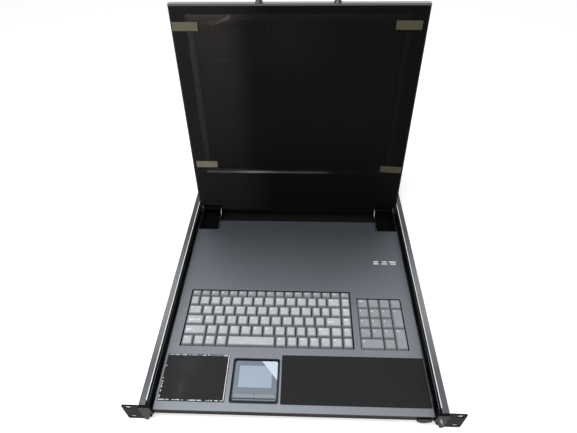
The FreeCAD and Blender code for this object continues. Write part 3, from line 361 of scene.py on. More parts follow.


# where a finish changes across a piece: the way it is measured, from where, to where, and the colour there; the painted
# shade beside the deck is a strip instead, between two distances from the middle and above a level
toBack, toFront, toRight, toLeft, toFarEdge = (0, 1, 0), (0, -1, 0), (1, 0, 0), (-1, 0, 0), tuple(lidOut)
# painted shade: the deck darkens towards the back, standing in for the dark lid reflected there
deckPaintedShade = (toBack, 170 * mm, 360 * mm, (0.092, 0.105, 0.122))
deckLip = (toFront, -1.75 * mm, -1.65 * mm, (0.004, 0.004, 0.004))
# painted shade: the outer rails are coloured darker towards their front and towards their back
railFrontPaintedShade = (toFront, -150 * mm, -60 * mm, (0.115, 0.12, 0.13))
railBackPaintedShade = (toBack, 200 * mm, 350 * mm, (0.08, 0.083, 0.09))
# painted shade: a near-black strip on the inner rail's edge, standing in for the shadow in the gap beside the deck
innerGapPaintedShade = (innerLow.x - 0.2 * mm, innerLow.x + 1.3 * mm, innerLow.z - 1 * mm, (0.003, 0.003, 0.003))
# painted reflection: a pale glare across the touchpad's back right corner, laid into the colour of the pad and its
# frame
glareWay, glareInset, glareSoft = (0.770, 0.638, 0), 25 * mm, 0.5 * mm
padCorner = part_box("touchpad_module")[1]
glareFrom = glareWay[0] * (padCorner.x - glareInset) + glareWay[1] * padCorner.y
paintedGlareCorner = (glareWay, glareFrom, glareFrom + glareSoft, (0.60, 0.68, 0.80))
buttonFront = -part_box("touchpad_button_left")[0].y
# painted shade: a dark band along the front of the touchpad buttons, where the gap in front of them lies in shadow
buttonFrontPaintedShade = (toFront, buttonFront - 1.5 * mm, buttonFront - 0.9 * mm, (0.035, 0.04, 0.05))
# painted reflection: the bezel is coloured lighter towards its left side
bezelLeftPaintedSheen = (toLeft, 45 * mm, 125 * mm, (0.011, 0.0105, 0.0105))
# painted highlight: a lighter grey band along the bezel's far edge
bezelEdgeHighlight = (toFarEdge, bezelFar - 2.9 * mm, bezelFar - 2.5 * mm, (0.055, 0.060, 0.064))
bezelGloss = (toFarEdge, bezelFar - 2.9 * mm, bezelFar - 2.3 * mm)
# painted highlight: a lighter grey band along the back cover's far edge
shellEdgeHighlight = (toFarEdge, shellFar - 0.5 * mm, shellFar - 0.3 * mm, (0.055, 0.059, 0.062))
# painted shade: the tapes are coloured darker towards the lid's far edge and darker still towards the right
tapeFarPaintedShade = (toFarEdge, bezelFar - 200 * mm, bezelFar - 100 * mm, (0.103, 0.094, 0.063))
tapeRightPaintedShade = (toRight, 60 * mm, 150 * mm, (0.056, 0.049, 0.029))

finishValues = {
    "greyDeck": dict(colour=(0.205, 0.222, 0.246), metal=0.65, rough=0.44, specular=0.3, grain=1500, change=0.10,
                     bands=(deckPaintedShade, deckLip)),
    "blackPan": dict(colour=(0.004, 0.004, 0.004), rough=0.6, specular=0.12),
    "housingBlack": dict(colour=(0.012, 0.012, 0.013), grain=1800, bump=0.00003, specular=0.35),
    "railSteel": dict(colour=(0.25, 0.255, 0.265), metal=1.0, rough=0.34, grain=420, stretch=(1, 0.5, 1), change=0.6,
                      bands=(railFrontPaintedShade, railBackPaintedShade)),
    "middleSteel": dict(colour=(0.10, 0.105, 0.11), metal=1.0, rough=0.34, grain=300, stretch=(6, 0.06, 6), change=0.2),
    "innerSteel": dict(colour=(0.11, 0.115, 0.125), metal=1.0, rough=0.36, grain=300, stretch=(6, 0.06, 6), change=0.2,
                       strips=(innerGapPaintedShade,)),
    "cageSteel": dict(colour=(0.45, 0.45, 0.44), metal=1.0, rough=0.3),
    "ballSteel": dict(colour=(0.72, 0.72, 0.73), metal=1.0, rough=0.12, change=0.04),
    "earBlack": dict(colour=(0.013, 0.0115, 0.011), rough=0.62, grain=1800, bump=0.00003, specular=0.08),
    "zinc": dict(colour=(0.6, 0.6, 0.61), metal=1.0, rough=0.3),
    # painted highlight along the outer rails' lips
    "lipPaintedHighlight": dict(colour=(0.93, 0.95, 0.98), metal=0.25, rough=0.3, grain=260, change=0.25),
    # painted highlight on the right corner cap
    "capHighlightGrey": dict(colour=(0.24, 0.24, 0.232), metal=0.6, rough=0.4),
    "blackMoulding": dict(colour=(0.006, 0.006, 0.0065), rough=0.5, bump=0.00001, specular=0.15),
    "glossMoulding": dict(colour=(0.005, 0.005, 0.0055), rough=0.3, bump=0.000004, specular=0.06),
    "hingeBlack": dict(colour=(0.0025, 0.0025, 0.0028), rough=0.6, specular=0.03),
    "palmBlack": dict(colour=(0.0165, 0.017, 0.018), rough=0.7, grain=2600, bump=0.00004, specular=0.14),
    # painted light and shade: the key faces are a lit copy of the key grey, the caps a shaded copy, and the dimmer
    # faces painted shade
    "keyTopLit": dict(colour=(0.50, 0.52, 0.55), rough=0.5, grain=420, patch=80, change=0.34, specular=0.4),
    "keyCapShaded": dict(colour=(0.25, 0.265, 0.285), rough=0.5, grain=420, change=0.2, specular=0.4),
    "keyTopShaded": dict(colour=(0.31, 0.33, 0.36), rough=0.5, grain=420, patch=80, change=0.3, specular=0.4),
    "wellBlack": dict(colour=(0.02, 0.021, 0.023), rough=0.6, specular=0.2),
    "touchBlue": dict(colour=(0.17, 0.20, 0.24), rough=0.42, grain=2200, change=0.08, specular=0.4,
                      bands=(paintedGlareCorner,)),
    "touchPad": dict(colour=(0.345, 0.41, 0.505), rough=0.34, grain=3000, change=0.06, specular=0.4,
                     bands=(paintedGlareCorner,)),
    "touchTub": dict(colour=(0.030, 0.038, 0.050), specular=0.3),
    "touchButton": dict(colour=(0.25, 0.27, 0.31), rough=0.3, change=0.06, specular=0.4, bands=(buttonFrontPaintedShade,)),
    "lensDark": dict(colour=(0.09, 0.10, 0.115), rough=0.25),
    "lidBlack": dict(colour=(0.0028, 0.0026, 0.0027), rough=0.5, grain=2200, bump=0.00003, specular=0.04, change=0.3,
                     bands=(bezelLeftPaintedSheen, bezelEdgeHighlight), coatBand=bezelGloss),
    "shellBlack": dict(colour=(0.016, 0.016, 0.017), rough=0.24, grain=1800, bump=0.00001, bands=(shellEdgeHighlight,)),
    "screenDark": dict(colour=(0.0024, 0.0024, 0.0026), rough=0.3, specular=0.03),
    "handleBlack": dict(colour=(0.012, 0.012, 0.013), rough=0.26),
    "boardGreen": dict(colour=(0.01, 0.09, 0.035), rough=0.35, change=0.3),
    "socketMetal": dict(colour=(0.6, 0.6, 0.58), metal=1.0, rough=0.3),
    "socketBlue": dict(colour=(0.02, 0.05, 0.25), rough=0.4),
    "legendWhite": dict(colour=(0.93, 0.94, 0.96), rough=0.5, change=0.04),
    "tapeAmber": dict(colour=(0.165, 0.153, 0.114), grain=260, patch=60, change=0.5, bump=0.0002, specular=0.2,
                      bands=(tapeFarPaintedShade, tapeRightPaintedShade)),
    "filmClear": dict(colour=(0.52, 0.47, 0.42), rough=0.30, grain=60, patch=9, change=0.5, bump=0.0002,
                      hazeAndGlintName="hazeAndGlint"),
    # white, shown only where the attribute makes the film opaque: its smudges and the painted highlights on its edges
    "palmFilm": dict(colour=(0.92, 0.94, 0.97), rough=0.12, grain=200, patch=25, change=0.1, bump=0.0002,
                     hazeAndGlintName="hazeAndGlint"),
}
finishes = {name: finish(name, **values) for name, values in finishValues.items()}
nodeFinish = {
    "greyDeck": ["keyboard_deck"],
    "blackPan": ["drawer_pan"],
    "housingBlack": ["rear_housing", "rear_cover"],
    "railSteel": ["outer_rail_left", "outer_rail_right"],
    "middleSteel": ["middle_rail_left", "middle_rail_right"],
    "innerSteel": ["inner_rail_left", "inner_rail_right"],
    "cageSteel": ["outer_ball_cage_left", "outer_ball_cage_right", "inner_ball_cage_left", "inner_ball_cage_right"],
    "earBlack": ["rack_ear_left", "rack_ear_right"],
    "zinc": ["ear_rivets", "cover_screws", "hinge_pins", "latch_straps", "lid_posts"],
    "blackMoulding": ["rear_stops", "rail_spacers", "power_inlet", "power_switch_frame", "power_rocker",
                      "release_latch"],
    "hingeBlack": ["hinge_bracket_left", "hinge_bracket_right", "hinge_arm_left", "hinge_arm_right"],
    "glossMoulding": ["corner_cap_left", "corner_cap_right"],
    "palmBlack": ["palm_pad_left", "palm_pad_right"],
    "keyCapShaded": ["number_keys", "upper_letter_keys", "home_letter_keys", "lower_letter_keys", "bottom_keys", "space_bar",
               "function_keys", "numpad_keys"],
    "wellBlack": ["keyboard_plate", "keyboard_posts"],
    "touchTub": ["touchpad_tub"],
    "touchBlue": ["touchpad_module"],
    "touchPad": ["touchpad_surface"],
    "touchButton": ["touchpad_button_left", "touchpad_button_right"],
    "lensDark": ["indicator_lights"],
    "lidBlack": ["lid_bezel"],
    "shellBlack": ["lid_cover"],
    "screenDark": ["lcd_panel"],
    "handleBlack": ["pull_handle"],
    "boardGreen": ["main_board"],
    "socketMetal": ["video_socket"],
    "tapeAmber": ["film_tapes"],
    "legendWhite": ["protective_film", "palm_film"],
}


def dressNodes():
    dressed = set()
    for name, nodes in nodeFinish.items():
        for node in nodes:
            mesh = frame["nodes"][node].data
            mesh.materials.clear()
            mesh.materials.append(finishes[name])
            dressed.add(node)
    missing = sorted(set(frame["nodes"]) - dressed)
    print("CAD nodes dressed:", len(dressed), "left:", missing)


dressNodes()


# ---- rows of small round forms, and pieces joined from several meshes
def buildRowTree():
    # copies of one small form along a straight row
    tree, start, end = newGroup("rowOfCopies", "GeometryNodeTree", [
        ("First", "NodeSocketVector", (0, 0, 0)),
        ("Step", "NodeSocketVector", (0.01, 0, 0)),
        ("Count", "NodeSocketInt", 4),
        ("Radius", "NodeSocketFloat", 0.001),
        ("Height", "NodeSocketFloat", 0.0),
        ("Sides", "NodeSocketInt", 12),
        ("Turn", "NodeSocketVector", (0, 0, 0)),
    ], [("Geometry", "NodeSocketGeometry")])
    line = addNode(tree, "GeometryNodeMeshLine", {"mode": "OFFSET"})
    tree.links.new(start.outputs["Count"], line.inputs["Count"])
    tree.links.new(start.outputs["First"], line.inputs["Start Location"])
    tree.links.new(start.outputs["Step"], line.inputs["Offset"])
    ball = addNode(tree, "GeometryNodeMeshUVSphere", Segments=14, Rings=8)
    tree.links.new(start.outputs["Radius"], ball.inputs["Radius"])
    peg = addNode(tree, "GeometryNodeMeshCylinder")
    tree.links.new(start.outputs["Sides"], peg.inputs["Vertices"])
    tree.links.new(start.outputs["Radius"], peg.inputs["Radius"])
    tree.links.new(start.outputs["Height"], peg.inputs["Depth"])
    isPeg = addNode(tree, "FunctionNodeCompare", {"operation": "GREATER_THAN"})
    tree.links.new(start.outputs["Height"], isPeg.inputs[0])
    choose = addNode(tree, "GeometryNodeSwitch", {"input_type": "GEOMETRY"})
    tree.links.new(isPeg.outputs[0], choose.inputs["Switch"])
    tree.links.new(ball.outputs["Mesh"], choose.inputs["False"])
    tree.links.new(peg.outputs["Mesh"], choose.inputs["True"])
    copies = addNode(tree, "GeometryNodeInstanceOnPoints")
    tree.links.new(line.outputs["Mesh"], copies.inputs["Points"])
    tree.links.new(choose.outputs["Output"], copies.inputs["Instance"])
    tree.links.new(start.outputs["Turn"], copies.inputs["Rotation"])
    real = addNode(tree, "GeometryNodeRealizeInstances")
    tree.links.new(copies.outputs["Instances"], real.inputs["Geometry"])
    tree.links.new(real.outputs["Geometry"], end.inputs["Geometry"])
    return tree


rowTree = buildRowTree()


def rowMesh(material, values):
    # runs the tree once with these values and returns a plain mesh of one material
    host = bpy.data.objects.new("host", bpy.data.meshes.new("host"))
    bpy.context.scene.collection.objects.link(host)
    modifier = host.modifiers.new("row", "NODES")
    modifier.node_group = rowTree
    for item in rowTree.interface.items_tree:
        if item.item_type == "SOCKET" and item.in_out == "INPUT" and item.name in values:
            modifier[item.identifier] = values[item.name]
    bpy.context.view_layer.update()
    view = bpy.context.evaluated_depsgraph_get()
    mesh = bpy.data.meshes.new_from_object(host.evaluated_get(view), depsgraph=view)
    host.modifiers.clear()
    bpy.data.objects.remove(host)
    mesh.materials.clear()
    mesh.materials.append(material)
    return mesh


def joined(name, meshes, body, smooth=False):
    # one object from several meshes of one material each, riding on one body
    form = bmesh.new()
    materials = []
    for mesh in meshes:
        first = len(form.faces)
        form.from_mesh(mesh)
        form.faces.ensure_lookup_table()
        material = mesh.materials[0]
        if material not in materials:
            materials.append(material)
        for face in form.faces[first:]:
            face.material_index = materials.index(material)
            face.smooth = smooth
    result = bpy.data.meshes.new(name)
    form.to_mesh(result)
    form.free()
    for material in materials:
        result.materials.append(material)
    item = bpy.data.objects.new(name, result)
    bpy.context.scene.collection.objects.link(item)
    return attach(item, body)


# ---- ball bearings between the rails
ballValues = {"perTrack": 14, "endGap": 6 * mm, "radius": {"outer": 1.20 * mm, "inner": 0.96 * mm}, "seat": 0.28 * mm,
              "shift": 0.3 * mm}


def makeBalls(values):
    for side in ("left", "right"):
        for ring, nest in (("outer", "middle_rail_"), ("inner", "inner_rail_")):
            low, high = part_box(f"{ring}_ball_cage_{side}")
            nestLow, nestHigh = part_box(nest + side)
            radius = values["radius"][ring]
            step = (high.y - low.y - 2 * values["endGap"]) / (values["perTrack"] - 1)
            x = (low.x + high.x) / 2 + (values["shift"] if side == "left" else -values["shift"])
            meshes = []
            for z in (nestHigh.z + radius + values["seat"], nestLow.z - radius - values["seat"]):
                meshes.append(rowMesh(finishes["ballSteel"], {
                    "First": (x, low.y + values["endGap"], z), "Step": (0.0, step, 0.0), "Count": values["perTrack"],
                    "Radius": radius, "Height": 0.0,
                }))
            joined(f"{ring}Balls_{side}", meshes, f"{ring}_cage_{side}", smooth=True)


makeBalls(ballValues)
print("bearing balls made")


# ---- the lighter tops of the keys, painted over darker caps as lit tops and shaded sides, and the words on them
faceValues = {"side": 1.5 * mm, "front": 1.7 * mm, "back": 1.1 * mm, "corner": 1.6 * mm, "steps": 4, "thick": 0.08 * mm,
              "shadedRows": ["function_keys", "numpad_keys"]}
legendValues = {
    "lift": faceValues["thick"] + 0.02 * mm, "thick": 0.03 * mm, "stroke": 0.09 * mm, "inset": (2.2 * mm, 1.8 * mm),
    "letter": 4.6 * mm, "word": 3.2 * mm, "wideWord": 4.6 * mm, "wideKey": 24 * mm,
}
topBand = 0.05 * mm  # a face this near to the highest point is a key's top
rowWords = {
    "function_keys": ["Esc"] + [f"F{n}" for n in range(1, 13)] + ["Prt", "Scr", "Brk", "Ins"],
    "number_keys": list("`1234567890-=") + ["Back", "Home"],
    "upper_letter_keys": ["Tab"] + list("QWERTYUIOP[]") + ["\\", "PgUp"],
    "home_letter_keys": ["Caps Lock"] + list("ASDFGHJKL;'") + ["Enter", "PgDn"],
    "lower_letter_keys": ["Shift"] + list("ZXCVBNM,./") + ["Shift", "Up", "End"],
    "bottom_keys": ["Ctrl", "Fn", "Alt", "Opt", "Alt", "Fn", "Menu", "Ctrl", "Lt", "Dn", "Rt"],
}
padWords = [["Num", "/", "*", "-"], ["7", "8", "9", "+"], ["4", "5", "6"], ["1", "2", "3", "Ent"], ["0", "."]]
bodyOfNode = {
    "function_keys": "function_row", "number_keys": "number_row", "upper_letter_keys": "upper_letter_row",
    "home_letter_keys": "home_letter_row", "lower_letter_keys": "lower_letter_row", "bottom_keys": "bottom_row",
    "space_bar": "space_bar", "numpad_keys": "numpad",
}


def keyTops(node):
    # the rectangle of each key's top face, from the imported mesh
    mesh = frame["nodes"][node].data
    top = max(v.co.z for v in mesh.vertices)
    groups = []
    for face in mesh.polygons:
        points = [mesh.vertices[i].co for i in face.vertices]
        if all(p.z > top - topBand for p in points):
            marks = {(round(p.x, 5), round(p.y, 5)) for p in points}
            touching = [g for g in groups if g & marks]
            for g in touching:
                groups.remove(g)
                marks |= g
            groups.append(marks)
    tops = []
    for group in groups:
        xs, ys = zip(*group)
        tops.append((min(xs), max(xs), min(ys), max(ys), top))
    return tops


def wordMesh(text, size, place, material, thick, stroke, centre=False):
    curve = bpy.data.curves.new("word", "FONT")
    curve.offset = stroke
    curve.body = text
    curve.size = size
    curve.extrude = thick / 2
    curve.resolution_u = 2
    curve.align_x = "CENTER" if centre else "LEFT"
    curve.align_y = "TOP"
    item = bpy.data.objects.new("word", curve)
    bpy.context.scene.collection.objects.link(item)
    bpy.context.view_layer.update()
    mesh = bpy.data.meshes.new_from_object(item)
    bpy.data.objects.remove(item)
    mesh.transform(Matrix.Translation(place))
    mesh.materials.clear()
    mesh.materials.append(material)
    return mesh


def makeKeyFaces(values):
    # the lighter top of each key, a thin plate with round corners inside the rim of the cap; against the darker cap it
    # is painted light and shade, and the rows listed as shaded get a darker copy as painted shade
    for node, body in bodyOfNode.items():
        form = bmesh.new()
        for x0, x1, y0, y1, z in keyTops(node):
            x0, x1 = x0 + values["side"], x1 - values["side"]
            y0, y1 = y0 + values["front"], y1 - values["back"]
            r = values["corner"]
            ring = []
            for n, (cx, cy) in enumerate(((x1 - r, y1 - r), (x0 + r, y1 - r), (x0 + r, y0 + r), (x1 - r, y0 + r))):
                for k in range(values["steps"] + 1):
                    angle = math.pi / 2 * (n + k / values["steps"])
                    ring.append((cx + r * math.cos(angle), cy + r * math.sin(angle)))
            lower = [form.verts.new((x, y, z)) for x, y in ring]
            upper = [form.verts.new((x, y, z + values["thick"])) for x, y in ring]
            form.faces.new(upper)
            form.faces.new(lower[::-1])
            for k in range(len(ring)):
                m = (k + 1) % len(ring)
                form.faces.new((lower[k], lower[m], upper[m], upper[k]))
        mesh = bpy.data.meshes.new(node)
        form.to_mesh(mesh)
        form.free()
        mesh.materials.append(finishes["keyTopShaded" if node in values["shadedRows"] else "keyTopLit"])
        joined(node + "_faces", [mesh], body)


makeKeyFaces(faceValues)
print("key faces made")


def placeWord(word, top, values, ink):
    x0, x1, y0, y1, z = top
    insetX, insetY = values["inset"]
    size = values["letter"] if len(word) == 1 else values["word"]
    y = y1 - insetY
    if len(word) > 1 and x1 - x0 > values["wideKey"]:
        size = values["wideWord"]
        y = (y0 + y1 + size) / 2
    return wordMesh(word, size, (x0 + insetX, y, z + values["lift"]), ink, values["thick"], values["stroke"])


def makeLegends(values):
    ink = finishes["legendWhite"]
    for node, words in rowWords.items():
        meshes = [placeWord(word, top, values, ink) for top, word in zip(sorted(keyTops(node)), words)]
        joined(node + "_legends", meshes, bodyOfNode[node])
    rows = {}
    for top in keyTops("numpad_keys"):
        rows.setdefault(round(top[3], 3), []).append(top)
    meshes = []
    for level, words in zip(sorted(rows, reverse=True), padWords):
        meshes += [placeWord(word, top, values, ink) for top, word in zip(sorted(rows[level]), words)]
    joined("numpad_legends", meshes, "numpad")


makeLegends(legendValues)
print("key legends made")


# ---- lock words beside the indicator lights
lockValues = {"words": [("NUM", "LOCK"), ("CAPS", "LOCK"), ("SCROLL", "LOCK")], "size": 3.7 * mm, "below": 6.3 * mm,
              "line": 4.9 * mm, "stroke": 0.26 * mm, "lift": 0.03 * mm, "thick": 0.04 * mm}


def makeLockWords(values):
    low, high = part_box("indicator_lights")
    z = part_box("keyboard_deck")[1].z + values["lift"]
    step = (high.x - low.x) / (len(values["words"]) - 1)
    meshes = []
    for n, pair in enumerate(values["words"]):
        for line, word in enumerate(pair):
            place = (low.x + step * n, low.y - values["below"] - line * values["line"], z)
            meshes.append(wordMesh(word, values["size"], place, finishes["legendWhite"], values["thick"],
                                   values["stroke"], centre=True))
    joined("lockWords", meshes, "drawer")


makeLockWords(lockValues)
print("lock words made")


# ---- bare cut edges of the hinge cheeks, and a painted highlight on the right corner cap
edgeValues = {
    "lift": 0.08 * mm, "cheekWide": 0.9 * mm, "cheekInset": 0.1 * mm,
    "shoulder": 0.6 * mm, "drop": 9 * mm, "reach": 11 * mm, "barrel": 6.0 * mm, "barrelTurns": (-90, -75, -60),
    "capBead": ((5.2, 9.6, 1.5), (6.4, 4.4, 2.7), (9.2, -2.4, 2.2), (13.4, -9.8, 0.4)),  # out, up and width, in mm
    "capSlope": 0.9,
}


def ribbonMesh(name, pairs, rise, material):
    # a thin closed strip through matching points on its two edges, thickened along rise
    lower = [point for pair in pairs for point in pair]
    up = len(lower)
    faces = []
    for a in range(0, up - 2, 2):
        b, c, d = a + 1, a + 3, a + 2
        faces += [(a, b, c, d), (d + up, c + up, b + up, a + up), (a, d, d + up, a + up), (c, b, b + up, c + up)]
    for a, b in ((0, 1), (up - 1, up - 2)):
        faces.append((b, a, a + up, b + up))
    mesh = bpy.data.meshes.new(name)
    mesh.from_pydata(lower + [point + rise for point in lower], [], faces)
    form = bmesh.new()
    form.from_mesh(mesh)
    bmesh.ops.recalc_face_normals(form, faces=form.faces)
    form.to_mesh(mesh)
    form.free()
    mesh.materials.append(material)
    return mesh


def makeCheekEdgesAndCapHighlight(values):
    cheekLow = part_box("hinge_bracket_right")[0]
    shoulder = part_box("keyboard_deck")[1].z + values["shoulder"]
    path = [(cheekLow.y, shoulder - values["drop"]), (cheekLow.y, shoulder), (lidAxis.y - values["reach"], shoulder)]
    for turn in values["barrelTurns"]:
        a = math.radians(turn)
        path.append((lidAxis.y + values["barrel"] * math.sin(a), lidAxis.z + values["barrel"] * math.cos(a)))
    rise = Vector((0, -values["lift"], values["lift"]))
    for side, name in ((1, "right"), (-1, "left")):
        x = side * (cheekLow.x + values["cheekInset"])
        pairs = [(Vector((x, y, z)), Vector((x + side * values["cheekWide"], y, z))) for y, z in path]
        joined("cheekEdge_" + name, [ribbonMesh("cheekEdge", pairs, rise, finishes["zinc"])], "drawer")
    # painted highlight: a pale grey crescent laid on the face of the right corner cap
    capLow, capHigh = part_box("corner_cap_right")
    pairs = []
    for outward, up, wide in values["capBead"]:  # from the cap's inner side and the middle of its height
        inner = Vector((capLow.x + outward * mm, capLow.y, (capLow.z + capHigh.z) / 2 + up * mm))
        pairs.append((inner, inner + Vector((wide * mm, 0, wide * values["capSlope"] * mm))))
    bead = ribbonMesh("capHighlightStrip", pairs, Vector((0, -values["lift"], 0)), finishes["capHighlightGrey"])
    joined("capHighlight_right", [bead], "drawer")


makeCheekEdgesAndCapHighlight(edgeValues)
print("bare edges made")


# ---- painted highlights along the lips of the outer rails, and black strips beside the deck as painted shade in the gap there
sideValues = {"lipWide": 1.2 * mm, "lipFrom": 7 * mm, "lipRise": 0.08 * mm,
              "gapShadeDrop": 3.4 * mm, "gapShadeThick": 0.8 * mm, "gapShadeTuck": 0.2 * mm}


def makeSideLines(values):
    deckLow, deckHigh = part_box("keyboard_deck")
    level = deckHigh.z - values["gapShadeDrop"]

    def strip(name, side, x0, x1, z, ends, rise, material):
        pairs = [(Vector((side * x0, y, z)), Vector((side * x1, y, z))) for y in ends]
        return ribbonMesh(name, pairs, Vector((0, 0, rise)), finishes[material])

    lipHighlights, gapShadeStrips = [], []
    for side in (1, -1):
        # painted highlight: a near-white strip along each outer rail's lip
        lipHighlights.append(strip("lip", side, railLow.x, railLow.x + values["lipWide"], railHigh.z,
                          (railLow.y + values["lipFrom"], railHigh.y), values["lipRise"], "lipPaintedHighlight"))
        # painted shade: a black strip under the deck's side edge, standing in for the shadow in the gap between the
        # deck and the inner rail
        gapShadeStrips.append(strip("gapShadeStrip", side, deckHigh.x - values["gapShadeTuck"], innerLow.x + values["gapShadeTuck"], level,
                           (deckLow.y, deckHigh.y), -values["gapShadeThick"], "wellBlack"))
    joined("railLipHighlights", lipHighlights, "frame")
    joined("sideGapShade", gapShadeStrips, "drawer")


makeSideLines(sideValues)
print("side lines made")


# ---- small fittings on the back: the lid's screws, and the video socket's insert with black dots as painted shade in its pin holes
screwValues = {"radius": 2.6 * mm, "high": 0.7 * mm, "lift": 0.25 * mm, "inset": (14 * mm, 30 * mm), "sides": 16,
               "recess": 0.45, "recessHigh": 0.3 * mm, "recessLift": 0.3 * mm, "recessSides": 6}
socketValues = {
    "insert": ((6.6 * mm, -3.5 * mm), (7.6 * mm, 3.5 * mm)),  # half width and level of the insert's two edges
    "insertBack": 0.1 * mm, "insertThick": 0.14 * mm,
    "perRow": 5, "pinStep": 2.29 * mm, "pinRadius": 0.5 * mm, "pinHigh": 0.1 * mm, "pinLift": 0.16 * mm,
    "pinSides": 8, "rowShift": 0.4 * mm, "rowStep": 2.0 * mm,
}


def makeLidBack(values):
    (x0, x1), (s0, s1), (_, w1) = lidRange("lid_cover")
    insetX, insetS = values["inset"]
    row = {"Step": (x1 - x0 - 2 * insetX, 0.0, 0.0), "Count": 2, "Turn": (math.pi - lidTurn, 0.0, 0.0)}
    meshes = []
    for s in (s0 + insetS, (s0 + s1) / 2, s1 - insetS):
        first = lidPoint(x0 + insetX, s, w1 + values["lift"])
        meshes.append(rowMesh(finishes["zinc"], {
            **row, "First": tuple(first), "Height": values["high"], "Radius": values["radius"],
            "Sides": values["sides"],
        }))
        # painted shade: a small black hexagon on each screw head stands in for the dark socket in it
        meshes.append(rowMesh(finishes["wellBlack"], {
            **row, "First": tuple(first + lidBack * values["recessLift"]), "Height": values["recessHigh"],
            "Radius": values["radius"] * values["recess"], "Sides": values["recessSides"],
        }))
    joined("lidScrews", meshes, "lid")


def makeSocketInsert(values):
    low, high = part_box("video_socket")
    centre = (low + high) / 2
    back = high.y - values["insertBack"]
    edges = [(Vector((centre.x - half, back, centre.z + z)), Vector((centre.x + half, back, centre.z + z)))
             for half, z in values["insert"]]
    meshes = [ribbonMesh("face", edges, Vector((0, values["insertThick"], 0)), finishes["socketBlue"])]
    # painted shade: black dots on the insert stand in for the dark pin holes
    for row in (-1, 0, 1):
        x = centre.x - (values["perRow"] - 1) / 2 * values["pinStep"] + row * values["rowShift"]
        meshes.append(rowMesh(finishes["wellBlack"], {
            "First": (x, back + values["pinLift"], centre.z + row * values["rowStep"]),
            "Step": (values["pinStep"], 0.0, 0.0), "Count": values["perRow"], "Radius": values["pinRadius"],
            "Height": values["pinHigh"], "Sides": values["pinSides"], "Turn": (math.pi / 2, 0.0, 0.0),
        }))
    joined("socketHoleShade", meshes, "drawer")


makeLidBack(screwValues)
makeSocketInsert(socketValues)
print("back fittings made")


# ---- clear film over the screen, taped at its corners, with its haze and painted highlights kept in an attribute
# haze and highlights are placed in millimetres across from the middle and out from the hinge axis
filmValues = {
    "cells": (118, 96), "base": 0.0035, "calmEdge": 12,
    "wave": 0.35 * mm, "ripples": ((31, 9), (7, -17), (13, 23)), "slow": (0.6, 1.3), "level": (0.4, 0.5),
    # painted reflection in left: milkier towards the left side, rising towards the top; painted highlights in bow,
    # cornerLine, lowEdge and highEdge
    "left": {"x": -96, "soft": 7, "low": 0.011, "more": 0.016, "from": 130, "over": 230},
    "smudges": [  # across, out, half width, half height, strength
        (-20, 350, 60, 50, 0.006), (-125, 310, 13, 2.5, 0.022), (-142, 281, 14, 6, 0.012), (-104, 284, 12, 5, 0.010),
        (-87, 335, 2.5, 14, 0.007), (8, 182, 2, 14, 0.003), (22, 176, 2, 12, 0.0025), (-150, 345, 30, 22, 0.010),
    ],
    "bow": {"x": -141, "half": 33, "level": 377, "sag": 10, "low": 0.05, "more": 0.06, "soft": 2.2},
    "cornerLine": {"until": -120, "level": 378, "soft": 1.8, "strength": 0.03},
    "lowEdge": {"wide": 3.2, "until": 60, "low": 0.10, "more": 0.22, "x": -84, "soft": 34},
    "highEdge": {"wide": 2.0, "strength": 0.012},
}


def peak(distance, soft):
    # a soft hump, one at no distance and fading out over the given width
    return math.exp(-(distance / soft) ** 2)


def smudgeHaze(x, y, smudges):
    return sum(strength * peak(x - x0, wide) * peak(y - y0, high) for x0, y0, wide, high, strength in smudges)


def gridSheet(name, cells, pointAt, hazeAndGlintAt, material, body):
    # a thin sheet on a grid: pointAt places each corner, the other function says how milky it is there, painted
    # highlights included
    nx, ny = cells
    spots = [(i / nx, j / ny) for j in range(ny + 1) for i in range(nx + 1)]
    faces = []
    for j in range(ny):
        for i in range(nx):
            a = j * (nx + 1) + i
            faces.append((a, a + 1, a + nx + 2, a + nx + 1))
    mesh = bpy.data.meshes.new(name)
    mesh.from_pydata([pointAt(u, v) for u, v in spots], [], faces)
    for face in mesh.polygons:
        face.use_smooth = True
    hazeAndGlint = mesh.attributes.new("hazeAndGlint", "FLOAT", "POINT")
    for n, (u, v) in enumerate(spots):
        hazeAndGlint.data[n].value = max(0.0, min(1.0, hazeAndGlintAt(u, v)))
    mesh.materials.append(material)
    item = bpy.data.objects.new(name, mesh)
    bpy.context.scene.collection.objects.link(item)
    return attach(item, body)


